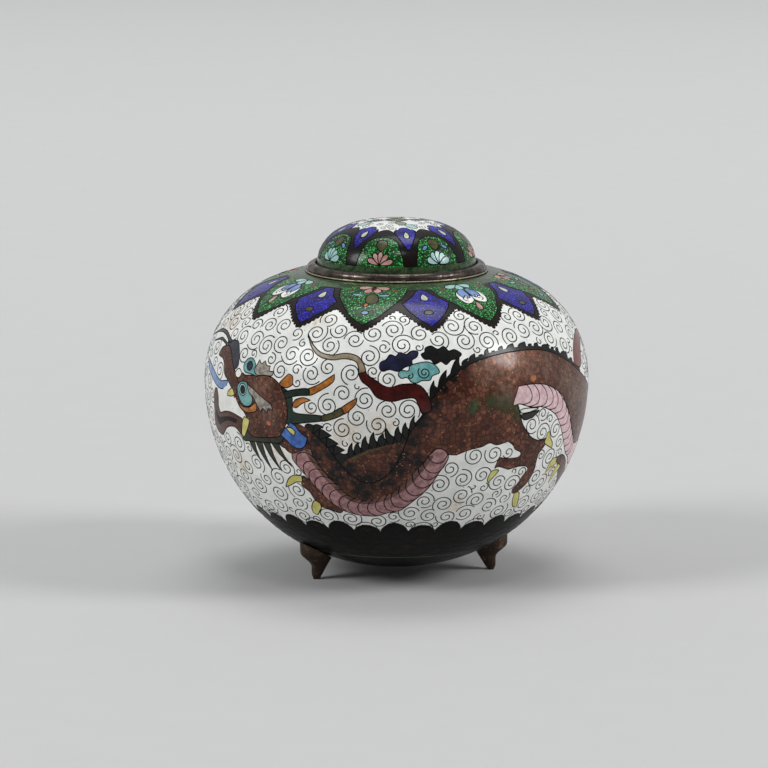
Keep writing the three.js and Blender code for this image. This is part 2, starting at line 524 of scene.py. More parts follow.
def kiln_mottle():
    """Slow clouds of colour from the firing, and a fine grain."""
    tree, given, out = effect("kiln mottle", {"Size": 400.0, "Softness": 0.2}, ["Cloud", "Grain"])
    where = object_place(tree)
    slow = noise(tree, where, given["Size"], 4.0, 0.62)
    low = math_node(tree, "SUBTRACT", 0.5, given["Softness"])
    high = math_node(tree, "ADD", 0.5, given["Softness"])
    tree.links.new(between(tree, slow, low, high), out["Cloud"])
    fine = noise(tree, where, 3200.0, 2.0, 0.6)
    tree.links.new(between(tree, fine, 0.3, 0.7), out["Grain"])
    return tree


def burst_bubbles():
    """Pin holes that the polishing opened, filled with dirt, in a share of the places."""
    tree, given, out = effect("burst bubbles", {"Size": 900.0, "Share": 0.2}, ["Pit"])
    where = object_place(tree)
    dots = node(tree, "TexVoronoi", {"Vector": where, "Scale": given["Size"]})
    chance = node(tree, "SeparateColor", {"Color": dots.outputs["Color"]}).outputs[0]
    hit = math_node(tree, "LESS_THAN", chance, given["Share"])
    size = between(tree, chance, 0.0, given["Share"], 0.2, 0.07)
    spot = math_node(tree, "SUBTRACT", size, dots.outputs["Distance"])
    spot = between(tree, spot, 0.0, 0.06)
    tree.links.new(times(tree, spot, hit), out["Pit"])
    return tree


def foil_flash():
    """Crumpled foil that glints through clear enamel."""
    tree, given, out = effect("foil flash", {"Size": 1100.0, "Share": 0.4}, ["Flash", "Crease"])
    where = object_place(tree)
    sway = node(tree, "TexNoise", {"Vector": where, "Scale": 900.0, "Detail": 2.0})
    bent = node(tree, "VectorMath", {"Vector": sway.outputs["Color"], "Scale": 0.0011}, operation="SCALE")
    where = node(tree, "VectorMath", {"Vector": where, "Vector_001": bent.outputs[0]}, operation="ADD")
    bits = node(tree, "TexVoronoi", {"Vector": where.outputs[0], "Scale": given["Size"]})
    split = node(tree, "SeparateColor", {"Color": bits.outputs["Color"]})
    lit = math_node(tree, "LESS_THAN", split.outputs[0], given["Share"])
    heart = between(tree, bits.outputs["Distance"], 0.1, 0.55, 1.0, 0.0)
    flash = times(tree, lit, heart)
    flash = times(tree, flash, between(tree, split.outputs[1], 0.0, 1.0, 0.2, 1.0))
    tree.links.new(flash, out["Flash"])
    rim = node(tree, "TexVoronoi", {"Vector": where.outputs[0], "Scale": given["Size"]},
        feature="DISTANCE_TO_EDGE")
    tree.links.new(between(tree, rim.outputs["Distance"], 0.0, 0.16, 1.0, 0.0), out["Crease"])
    return tree


def scale_net():
    """The small cells of a scaly hide: a net, and a chance value for each cell."""
    tree, given, out = effect("scale net", {"Size": 760.0}, ["Net", "Chance"])
    where = object_place(tree)
    cells = node(tree, "TexVoronoi", {"Vector": where, "Scale": given["Size"], "Randomness": 0.75})
    edge = node(tree, "TexVoronoi", {"Vector": where, "Scale": given["Size"], "Randomness": 0.75},
        feature="DISTANCE_TO_EDGE")
    tree.links.new(between(tree, edge.outputs["Distance"], 0.03, 0.15, 1.0, 0.0), out["Net"])
    tree.links.new(node(tree, "SeparateColor", {"Color": cells.outputs["Color"]}).outputs[0],
        out["Chance"])
    return tree


def old_metal():
    """Tarnish in clouds, the grain of the casting or drawing, and fine scratches."""
    tree, given, out = effect("old metal", {"Size": 260.0, "Amount": 0.5}, ["Tarnish", "Grain", "Scratch"])
    where = object_place(tree)
    slow = noise(tree, where, given["Size"], 6.0, 0.7)
    low = math_node(tree, "SUBTRACT", 0.75, given["Amount"])
    high = math_node(tree, "ADD", low, 0.25)
    tree.links.new(between(tree, slow, low, high), out["Tarnish"])
    fine = noise(tree, where, 2600.0, 3.0, 0.7)
    tree.links.new(fine, out["Grain"])
    drawn = node(tree, "Mapping", {"Vector": where, "Scale": (1.0, 1.0, 14.0)})
    lines = noise(tree, drawn.outputs[0], 420.0, 3.0)
    tree.links.new(between(tree, lines, 0.55, 0.75), out["Scratch"])
    return tree


EFFECTS = {make.__name__: make() for make in (kiln_mottle, burst_bubbles, foil_flash, scale_net,
    old_metal)}


def use(tree, name, **values):
    made = tree.nodes.new("ShaderNodeGroup")
    made.node_tree = EFFECTS[name]
    for label, value in values.items():
        made.inputs[label].default_value = value
    return made.outputs


def new_material(name):
    material = bpy.data.materials.new(name)
    material.use_nodes = True
    tree = material.node_tree
    tree.nodes.clear()
    shader = tree.nodes.new("ShaderNodeBsdfPrincipled")
    ending = tree.nodes.new("ShaderNodeOutputMaterial")
    tree.links.new(shader.outputs[0], ending.inputs["Surface"])
    return material, tree, shader


def near_places(tree, places):
    """How near the surface is to some places on the body."""
    where = object_place(tree)
    near = 0.0
    for u, v, reach in places:
        spot = tuple(BODY.place(np.array(spots([(u, v)], BODY)), 0.0)[0][0])
        apart = node(tree, "VectorMath", {"Vector": where, "Vector_001": spot}, operation="DISTANCE")
        share = between(tree, apart.outputs["Value"], 0.0, reach * MM, 1.0, 0.0)
        near = math_node(tree, "MAXIMUM", near, share)
    return near


def finish_enamel(tree, shader, colour, grain, pit, roughness=0.34, gloss=0.5):
    """Polished glass over the colour: a soft sheen from scratches, a clear top, dirt in its pits."""
    colour = blended(tree, times(tree, pit, 0.85), colour, paint(28, 22, 20))
    tree.links.new(colour, shader.inputs["Base Color"])
    rough = between(tree, grain, 0.0, 1.0, roughness * 0.8, roughness * 1.25)
    tree.links.new(math_node(tree, "MAXIMUM", rough, times(tree, pit, 0.6)), shader.inputs["Roughness"])
    peel = noise(tree, object_place(tree), 260.0, 1.0)
    height = math_node(tree, "SUBTRACT", times(tree, peel, 0.02), pit)
    bump = node(tree, "Bump", {"Height": height, "Strength": 0.35, "Distance": 0.00012})
    tree.links.new(bump.outputs[0], shader.inputs["Normal"])
    shader.inputs["Specular IOR Level"].default_value = 0.4 * gloss
    shader.inputs["Coat Weight"].default_value = gloss
    shader.inputs["Coat Roughness"].default_value = 0.15
    shader.inputs["Coat IOR"].default_value = 1.42


def opaque_enamel(name, dark, light, size=420.0, softness=0.2, pits=0.22, gloss=0.5):
    """Opaque enamel, clouded between two shades."""
    material, tree, shader = new_material(name)
    mottle = use(tree, "kiln_mottle", Size=size, Softness=softness)
    pit = use(tree, "burst_bubbles", Share=pits)["Pit"]
    colour = blended(tree, mottle["Cloud"], paint(*dark), paint(*light))
    shade = times(tree, mottle["Grain"], 0.16)
    colour = blended(tree, shade, colour, paint(*(c * 0.72 for c in dark)))
    finish_enamel(tree, shader, colour, mottle["Grain"], pit, gloss=gloss)
    return material


def foil_enamel(name, deep, body, flash):
    """Clear coloured enamel over crumpled foil."""
    material, tree, shader = new_material(name)
    mottle = use(tree, "kiln_mottle", Size=330.0, Softness=0.16)
    foil = use(tree, "foil_flash", Size=1750.0, Share=0.8)
    pit = use(tree, "burst_bubbles", Share=0.12)["Pit"]
    colour = blended(tree, mottle["Cloud"], paint(*deep), paint(*body))
    colour = blended(tree, times(tree, foil["Crease"], 0.55), colour, paint(*deep))
    colour = blended(tree, foil["Flash"], colour, paint(*flash))
    finish_enamel(tree, shader, colour, mottle["Grain"], pit, gloss=0.36)
    return material


def scaly_enamel(name, net, low, high, spark, smoky_and_shaded_places, green_places, painted_sheen_places):
    """Brown enamel with copper glitter, in small scales with a darker net, green in places, darkened near
    some places with smoky enamel and painted shade, and lightened near others with a painted sheen.
    """
    material, tree, shader = new_material(name)
    mottle = use(tree, "kiln_mottle", Size=150.0, Softness=0.1)
    patch = use(tree, "kiln_mottle", Size=520.0, Softness=0.12)
    scales = use(tree, "scale_net", Size=640.0)
    foil = use(tree, "foil_flash", Size=1700.0, Share=0.08)
    pit = use(tree, "burst_bubbles", Share=0.16)["Pit"]
    colour = blended(tree, scales["Chance"], paint(*low), paint(*high))
    colour = blended(tree, times(tree, mottle["Cloud"], 0.6), colour, paint(*low))
    red = times(tree, patch["Cloud"], 0.5)
    colour = blended(tree, red, colour, paint(88, 36, 22))
    colour = blended(tree, times(tree, scales["Net"], 0.62), colour, paint(*net))
    # Darker near some places with smoky enamel and painted shade, green near others, and paler near others
    # with a painted sheen.
    for places, shade, most in ((smoky_and_shaded_places, (9, 8, 11), 1.6), (green_places, (46, 62, 28), 1.3),
            (painted_sheen_places, (150, 124, 108), 0.4)):
        uneven = between(tree, patch["Cloud"], 0.0, 1.0, 1.0, 0.4)
        broken = times(tree, near_places(tree, places), uneven)
        colour = blended(tree, times(tree, broken, most), colour, paint(*shade))
    colour = blended(tree, foil["Flash"], colour, paint(*spark))
    finish_enamel(tree, shader, colour, mottle["Grain"], pit, 0.5)
    shader.inputs["Metallic"].default_value = 0.6
    return material


def stained_enamel(name, clean, dull, stain, places):
    """White enamel that has taken up brown round some places."""
    material, tree, shader = new_material(name)
    mottle = use(tree, "kiln_mottle", Size=300.0, Softness=0.22)
    patch = use(tree, "kiln_mottle", Size=420.0, Softness=0.18)
    pit = use(tree, "burst_bubbles", Share=0.3)["Pit"]
    patchy = between(tree, patch["Cloud"], 0.0, 1.0, 0.1, 0.6)
    stained = times(tree, near_places(tree, places), patchy)
    colour = blended(tree, mottle["Cloud"], paint(*dull), paint(*clean))
    colour = blended(tree, stained, colour, paint(*stain))
    finish_enamel(tree, shader, colour, mottle["Grain"], pit)
    return material


def metal(name, base, tarnish, size, amount, roughness, bump_depth=0.00006, worn=None):
    """Old copper alloy: tarnish in clouds over the base, rougher where it is tarnished."""
    material, tree, shader = new_material(name)
    old = use(tree, "old_metal", Size=size, Amount=amount)
    colour = blended(tree, old["Tarnish"], paint(*base), paint(*tarnish))
    if worn is not None:
        colour = blended(tree, times(tree, old["Scratch"], 0.6), colour, paint(*worn))
    tree.links.new(colour, shader.inputs["Base Color"])
    rough = between(tree, old["Tarnish"], 0.0, 1.0, roughness, min(1.0, roughness * 1.7))
    tree.links.new(rough, shader.inputs["Roughness"])
    bump = node(tree, "Bump", {"Height": old["Grain"], "Strength": 0.5, "Distance": bump_depth})
    tree.links.new(bump.outputs[0], shader.inputs["Normal"])
    shader.inputs["Metallic"].default_value = 0.85
    return material


# Places on the body as (degrees, mm, reach in mm)
# Places where the scaly enamel is darkened: partly dark smoky enamel along the spine and fins, partly
# painted shade on the lower hook and neck.
SMOKY_AND_SHADED_PLACES = [(-8, -23, 7), (-15, -19, 5.5), (0, -18, 6), (4, -9, 6), (7, -2, 6), (10, 4, 5.5),
    (13, 8, 4.5), (-24, -9, 5), (-19, -14, 5), (-4, -23, 6), (-12, -23, 5), (2, -14, 5), (-17, -18, 5),
    (17, 11.5, 3.6), (21, 14, 3.2), (26, 15.6, 2.8), (-28, -10, 4), (6, -16, 5.5), (-26, -16, 6),
    (-19, -22, 6), (-11, -27, 6)]
GREEN_PLACES = [(22.5, 1.5, 3.2), (29, 2.4, 4.4), (33, 1.6, 5.2), (37, -0.4, 5), (39, -2.6, 4)]
# Places where the scaly enamel is lightened: a painted sheen, standing in for a broad reflection on the
# upper body.
PAINTED_SHEEN_PLACES = [(28, 12, 9), (36, 13, 9), (44, 12, 9), (52, 11, 9), (60, 6, 9), (66, 0, 8), (-44, 5, 8),
    (-40, -4, 6), (34, 6, 8)]
STAINED_PLACES = [(-14, -7, 9), (-4, -4, 7), (-26, -2, 3.5), (60, -25, 6), (-38, -15, 6), (44, -2, 4),
    (-72, 24, 9), (-58, -22, 7), (-30, 30, 6), (20, -33, 5), (140, -10, 10), (-150, 12, 9), (-112, -18, 8)]

# Opaque enamels: darker and lighter shade, then size and softness of the clouds, share of pits, gloss
OPAQUE = {
    "blank white": ((228, 229, 224), (245, 245, 241), 300.0, 0.22, 0.1),
    "black": ((7, 7, 7), (18, 17, 15), 260.0, 0.2, 0.3, 0.12),
    "smoke": ((16, 8, 9), (34, 20, 20), 300.0, 0.2, 0.2, 0.14),
    "brown black": ((14, 10, 8), (34, 24, 20), 420.0, 0.2, 0.22, 0.24),
    "aubergine": ((9, 7, 6), (24, 16, 15), 300.0, 0.2, 0.22, 0.26),
    "band green": ((24, 48, 26), (62, 88, 50), 760.0, 0.1, 0.3),
    "rose": ((132, 92, 92), (184, 140, 142), 640.0, 0.16, 0.3),
    "pale rose": ((206, 168, 174), (234, 206, 208), 640.0, 0.16, 0.3),
    "rose brown": ((74, 46, 38), (122, 84, 76), 640.0, 0.16, 0.3),
    "maroon": ((46, 8, 6), (84, 20, 15), 380.0, 0.2, 0.22, 0.4),
    "brick": ((90, 34, 28), (128, 62, 50), 380.0),
    "jaw brown": ((54, 26, 19), (94, 50, 37), 620.0, 0.2, 0.22, 0.35),
    "turquoise": ((84, 146, 150), (136, 186, 182)),
    "pale turquoise": ((140, 190, 188), (176, 212, 206)),
    "pale blue": ((104, 150, 176), (146, 184, 200)),
    "ear blue": ((40, 74, 148), (80, 126, 198)),
    "lobe blue": ((84, 118, 176), (128, 156, 206)),
    "navy": ((15, 16, 36), (32, 34, 66), 380.0),
    "slate": ((26, 28, 40), (52, 54, 68), 380.0),
    "grey": ((118, 112, 104), (172, 165, 154), 700.0, 0.14),
    "sage": ((104, 122, 104), (146, 160, 140)),
    "pearl": ((176, 182, 168), (206, 210, 196)),
    "yellow": ((192, 186, 92), (218, 214, 136)),
    "orange": ((136, 78, 24), (206, 132, 54)),
    "tan": ((120, 106, 84), (168, 152, 126)),
    "olive": ((40, 40, 14), (84, 80, 36)),
    "dark olive": ((18, 21, 9), (44, 46, 22)),
    "dark green": ((8, 24, 16), (20, 48, 32)),
    "fin": ((7, 9, 8), (20, 24, 21), 420.0, 0.2, 0.22, 0.35),
    "leaf green": ((34, 52, 24), (64, 84, 44)),
    "pink": ((168, 118, 112), (206, 166, 158)),
    "red": ((70, 22, 14), (116, 46, 32)),
    "coral": ((160, 76, 48), (200, 122, 86), 700.0),
    "ink": ((8, 8, 9), (20, 20, 21), 420.0, 0.2, 0.22, 0.35),
    "counter": ((30, 62, 92), (62, 104, 128), 180.0, 0.2, 0.5),
}
ENAMELS = {name: opaque_enamel(name + " enamel", *values) for name, values in OPAQUE.items()}
ENAMELS["white"] = stained_enamel("white enamel", (243, 243, 239), (224, 227, 223), (196, 164, 122),
    STAINED_PLACES)
ENAMELS["green foil"] = foil_enamel("green foil enamel", (6, 30, 12), (16, 76, 30), (112, 255, 132))
ENAMELS["blue foil"] = foil_enamel("blue foil enamel", (12, 8, 58), (28, 20, 150), (86, 80, 250))
ENAMELS["scales"] = scaly_enamel("scaly brown enamel", (27, 15, 11), (62, 33, 23), (142, 90, 66),
    (208, 144, 110), SMOKY_AND_SHADED_PLACES, GREEN_PLACES, PAINTED_SHEEN_PLACES)
WIRE_METAL = metal("cloison wire", (26, 22, 20), (12, 11, 10), 900.0, 0.5, 0.4)
RING_METAL = metal("ring metal", (104, 94, 86), (54, 46, 42), 320.0, 0.4, 0.22, 0.00002)
BEAD_METAL = metal("worn bead metal", (172, 164, 140), (92, 86, 72), 700.0, 0.3, 0.36, 0.00003)
FOOT_METAL = metal("foot metal", (150, 120, 96), (70, 58, 50), 420.0, 0.5, 0.36, 0.0002)
BARE_COPPER = metal("bare copper", (120, 78, 56), (58, 42, 34), 300.0, 0.5, 0.4)


# Parts of the picture

def petal_outline(root, tip, width, on, point, count=18):
    """An oval from root to tip, or a drop that is widest near its tip."""
    a, b = spots([root, tip], on)
    across = on.widening((root[1] + tip[1]) / 2)
    length = np.array([(b[0] - a[0]) / across, b[1] - a[1]])
    side = np.array([-length[1], length[0]]) / max(float(np.hypot(*length)), 1e-6)
    turn = np.linspace(0, 2 * math.pi, count, endpoint=False)
    along = (1 - np.cos(turn)) / 2
    reach = width / 2 * np.sin(turn) * along ** point * (1 + 0.55 * point)
    points = along[:, None] * length + reach[:, None] * side
    points[:, 0] *= across
    return points + np.array(a)


def edges(centre):
    """The two edges of a band given as (degrees, mm, half its width in mm) along its middle."""
    given = np.array([(*BODY.spot(u, v), w) for u, v, w in centre])
    rows = curve(given[:, :2], step=3.0)
    knots = np.concatenate([[0], np.cumsum(np.hypot(*np.diff(given[:, :2], axis=0).T))])
    run = np.concatenate([[0], np.cumsum(np.hypot(*np.diff(rows, axis=0).T))])
    half = np.interp(run / run[-1] * knots[-1], knots, given[:, 2])
    along = np.gradient(rows, axis=0)
    along /= np.hypot(*along.T)[:, None]
    aside = np.stack([-along[:, 1], along[:, 0]], 1) * half[:, None]
    to_degrees = np.array([1 / BODY.per_degree, 1])
    return ((rows + aside) * to_degrees).tolist(), ((rows - aside) * to_degrees).tolist()


def band(picture, centre, enamel):
    left, right = edges(centre)
    picture.cell(shape(left, right[::-1]), enamel)


def cells(picture, enamel, *outlines, **how):
    """Cells of one enamel. Each outline is a smooth round of places, or a list of runs between corners."""
    for outline in outlines:
        runs = outline if isinstance(outline[0], list) else [outline]
        picture.cell(shape(*runs, on=picture.on), enamel, **how)


def spikes(picture, roots, tips, into, enamel="fin", lean=0.5):
    """A row of fin spikes on an edge, each bellied on one flank and hollow on the other."""
    for start, end, tip in zip(roots, roots[1:], tips):
        a, b, t = (np.array(p, float) for p in (start, end, tip))
        rise = a + (t - a) * 0.5 + np.array([-lean, lean])
        fall = b + (t - b) * 0.45 + np.array([-lean, -lean * 0.6])
        low = (a + b) / 2 + np.array(into)
        picture.cell(shape([a, rise], [t, fall], [b], [low]), enamel)


def plates(picture, inner, outer, count, ahead, swell=1.0):
    """Round-ended plates across the belly, each laid over the next. Ahead is the way it runs, 1 or -1."""
    a, b = curve(spots(inner, BODY), step=0.6), curve(spots(outer, BODY), step=0.6)
    for k in range(1, count):
        p = a[round(k / count * (len(a) - 1))]
        q = b[round(k / count * (len(b) - 1))]
        bow = np.array([q[1] - p[1], p[0] - q[0]]) * ahead * swell
        bent = [p + (q - p) * share + bow * height for share, height in ((0, -0.12), (0.12, 0.16),
            (0.36, 0.36), (0.66, 0.38), (0.9, 0.18), (1, 0))]
        picture.line(curve(bent, step=0.6), PLATE_WIRE)


def full_turn(line, top):
    """The cell between a line that goes once round and a level beyond the inlay's edge."""
    out = np.sign(line[-1, 0] - line[0, 0]) * 4.0
    first, last = line[0] - [out, 0], line[-1] + [out, 0]
    return np.concatenate([[first], line, [last, [last[0], top], [first[0], top]]])


# Places round the shoulder of its sixteen hanging points, green and blue by turns
POINTS = [-58.5, -35.5, -12, 12.3, 35, 57.5] + [57.5 + 22.18 * k for k in range(1, 11)]
POINTS = [u if u <= 180 else u - 360 for u in POINTS]


def lay_collar(picture):
    """Sixteen hanging points round the shoulder."""
    half = BODY.round / 2
    order = sorted(POINTS)
    low = []
    for before, tip, after in zip([order[-1] - 360] + order, order, order[1:] + [order[0] + 360]):
        left, right = (before - tip) / 2, (after - tip) / 2
        low += [(tip + share * left, v) for share, v in ((1, 36.2), (0.66, 33.4), (0.3, 29.2))]
        low += [(tip, 26.8)] + [(tip + share * right, v) for share, v in ((0.3, 29.2), (0.66, 33.4))]
    low = np.array(spots(low + [(low[0][0] + 360, 36.2)], BODY))
    across = np.linspace(-half, half, 1800)
    line = np.stack([across, np.interp(across, low[:, 0], low[:, 1], period=BODY.round)], 1)
    picture.cell(full_turn(bumpy(line[::-1], 1.75, 0.62), 60.0), "brown black")
    level = np.stack([np.linspace(half, -half, 300), np.full(300, COLLAR_TOP)], 1)
    picture.cell(full_turn(level, 60.0), "band green", wired=False)
    for number, u in enumerate(POINTS):
        if number % 2:
            lay_drop_panel(picture, u)
            continue
        side = [(17.4, 49.5), (16.8, 46.6), (15.0, 43.4), (12.2, 40.0), (8.9, 36.5), (5.4, 32.8),
            (0, 29.2)]
        left = curve(spots([(u - a, v) for a, v in side], BODY))
        right = curve(spots([(u + a, v) for a, v in side[::-1]], BODY))
        picture.cell(np.concatenate([left[:-1], right]), "green foil", wired=False)
        picture.line(left[3:])
        picture.line(right[:-3])
        (lay_bell_flower, lay_hanging_flower)[number // 2 % 2](picture, u)
        for way in (-1, 1):
            picture.petal("red", (u + way * 12.2, 48.2), (u + way * 10.4, 46.4), 1.8, wired=False)


def lay_hanging_flower(picture, u):
    """A rose flower hanging from the neck, over two leaves, a dark heart and drops."""
    for way in (-1, 1):
        picture.petal("pale blue", (u + way * 2.6, 43.9), (u + way * 9.0, 44.3), 1.5, 0.3)
    picture.petal("olive", (u + 0.5, 45.6), (u + 1.6, 39.0), 4.4, 0.2)
    picture.petal("orange", (u - 0.6, 39.4), (u - 0.8, 37.4), 1.6)
    picture.petal("lobe blue", (u - 1.6, 34.6), (u + 1.4, 34.6), 1.8)
    for a, v in ((-8.2, 49.0), (8.6, 48.8), (-3.2, 45.6), (3.4, 45.9)):
        picture.petal("pink", (u, 50.2), (u + a, v), 2.7, 0.6)
    picture.petal("maroon", (u + 0.2, 50.6), (u, 47.6), 1.3, 0.4)


def lay_bell_flower(picture, u):
    """A turquoise flower over a pair of blue lobes that white scrolls hold, and a drop."""
    for way in (-1, 1):
        hold = ((0, 40.6), (1.4, 38.6), (4.6, 37.8), (6.8, 40.2), (6.9, 43.2), (4.6, 45.4), (1.4, 45.4))
        lobe = ((0.6, 42.2), (1.9, 40.7), (2.6, 42.4), (4.4, 41.2), (5.5, 43.4), (4.2, 45.6), (0.8, 46.6))
        for enamel, half in (("blank white", hold), ("lobe blue", lobe)):
            cells(picture, enamel, [[(u + way * a, v) for a, v in half]])
        picture.scroll((u + way * 3.4, 40.6), 1.5, 1.1, 4.7, way)
    picture.petal("pink", (u - 0.3, 38.5), (u - 0.5, 34.4), 2.2, 0.4)
    for a, v in ((-8.4, 48.4), (6.6, 48.2), (-1.4, 46.4)):
        picture.petal("pale turquoise", (u, 50.2), (u + a, v), 3.0, 0.6)


def lay_drop_panel(picture, u):
    """A pointed blue foil shape with a pale drop in it."""
    side = [(2.6, 47.0), (4.6, 44.2), (7.0, 41.6)], [(9.9, 39.2), (8.0, 36.0), (4.9, 32.6), (1.8, 29.9)]
    right = [[(u + a, v) for a, v in run] for run in side]
    left = [[(u - a, v) for a, v in run[::-1]] for run in side[::-1]]
    picture.cell(shape([(u, 48.0)] + right[0], right[1], [(u, 28.6)] + left[0][:-1],
        [left[0][-1]] + left[1]), "blue foil")
    picture.petal("pearl", (u, 45.0), (u + 0.2, 40.8), 2.5, 0.55)
    picture.petal("olive", (u - 1.8, 34.6), (u + 1.8, 34.6), 2.1)


def lay_base(picture):
    """The black foot of the picture, lobed along its top."""
    half, lobes, phase = BODY.round / 2, 34, -22.0
    pitch = 360 / lobes
    x = np.linspace(-half, half, 1921)
    turn = (x / BODY.per_degree - phase) / pitch
    hump = np.abs(np.cos(math.pi * turn)) ** 0.55
    small = np.cos(math.pi * np.round(turn)) < 0
    jagged = random.Random(3)
    rough = np.array([jagged.uniform(-0.16, 0.16) for _ in x])
    top = BASE_TOP + np.where(small, 3.7, 5.0) * hump + rough
    top[-1] = top[0]
    picture.cell(full_turn(np.stack([x, top], 1), LOWEST_INLAY - 6), "black")
    for k in range(lobes):
        u = phase + pitch * k
        if k % 2:
            picture.line(curve(spots([(u - 4.4, -44.0), (u - 3.4, -41.4), (u, -40.1), (u + 3.4, -41.4),
                (u + 4.4, -44.0)], BODY)))
            picture.petal("smoke", (u, -45.4), (u, -42.6), 4.0, 0.1)
        for row in range(4):
            v, aside = -48.2 - 3.6 * row, pitch / 2 * (row % 2)
            arc = [(u + aside - pitch / 2, v - 2.2), (u + aside - pitch / 3.4, v - 0.6), (u + aside, v),
                (u + aside + pitch / 3.4, v - 0.6), (u + aside + pitch / 2, v - 2.2)]
            picture.line(curve(spots(arc, BODY), step=0.8), BASE_WIRE)
            if (k + row) % 3 == 0:
                picture.petal("smoke", (u + aside, v - 2.6), (u + aside, v - 0.8), 2.6, wired=False)
    for level, enamel in ((-62.0, "band green"), (-63.1, "black")):
        picture.cell(full_turn(np.stack([x[::6], np.full(len(x[::6]), level)], 1), LOWEST_INLAY - 6),
            enamel)


# The dragon's outlines, in the order that its body runs
SPINE = [(-25.5, -7), (-22.5, -9.5), (-20.5, -12), (-18.5, -15), (-16.5, -18), (-14.5, -20.5), (-11, -23),
    (-8, -23.5), (-4.5, -22), (-2, -19.5), (0, -16.5), (1.5, -13), (2.5, -10), (3.5, -7), (5, -4.5),
    (6.5, -2.5), (8, 0), (9, 3), (11, 5.5), (13, 8), (16, 11), (19, 13), (22, 14.7), (26, 16), (31, 17),
    (37, 17.6), (44, 17.5), (50, 16.8), (56, 15), (62, 12), (67, 9), (72, 6)]
BREAST = [(-27, -12.5), (-25.5, -15.5), (-23.5, -19), (-21.5, -22), (-19, -25), (-16.5, -28), (-13.5, -30),
    (-9, -30.5), (-5, -29), (-2, -27.5), (1, -25), (3.5, -22.5), (6, -19), (8, -16.5), (9.5, -14),
    (11, -12.2)]
THROAT = [(-33, -15), (-33, -17), (-31, -20), (-28.5, -23.5), (-27.3, -26), (-25.5, -29), (-23, -32),
    (-20, -34.5), (-16, -36.2), (-12, -37), (-7, -37), (-3, -35.5), (1, -34.5), (3, -33), (6, -30),
    (8.5, -27.5), (11, -24), (13, -20), (15, -16.5), (15.5, -14), (14, -12), (12, -11.6)]
FORELEG = [[(13.5, -11.7), (15, -13.5)], [(18, -14), (20.5, -13), (23, -12.3), (26, -11.8), (28.5, -10.8),
    (31, -11.7)], [(35, -11), (37, -12.5), (38, -14), (40.5, -15.5), (40, -17), (36, -17)],
    [(32.5, -16.2), (32, -18)], [(31.5, -20), (33, -19.5)], [(37, -21), (41, -20.5), (44.5, -21),
    (45.5, -22.5), (44, -24.5), (43, -27)], [(41.5, -29), (42, -30.7)], [(43.5, -31), (46, -29.5),
    (48, -27), (49, -23), (48.7, -20), (49, -17), (51, -14.5)], [(51, -12), (48, -12.5), (44, -10.8),
    (41, -7.6), (39.5, -5.2), (38.6, -2), (37.6, 1)]]
UNDERSIDE = [(38.3, 6.5), (44, 6.5), (49, 5.7), (53, 4), (57, 1.5), (60, -2), (63, -6), (65.5, -10),
    (69, -14), (74, -18)]
KEEL = [(36, 0.8), (38.5, 0.8), (43, -0.8), (47, -1.2), (50.5, -2.5), (54.5, -5), (57, -8), (59.5, -11.5),
    (62, -15), (66, -19.5), (72, -23)]
TAIL = [(80, -13, 13.5), (90, -18, 11.5), (104, -23, 9.5), (118, -22, 8), (132, -13, 7), (144, -3, 6),
    (156, 3, 5.2), (172, -1, 4.2), (186, -12, 3.2), (200, -21, 2.4), (213, -20, 1.6), (222, -11, 0.6)]


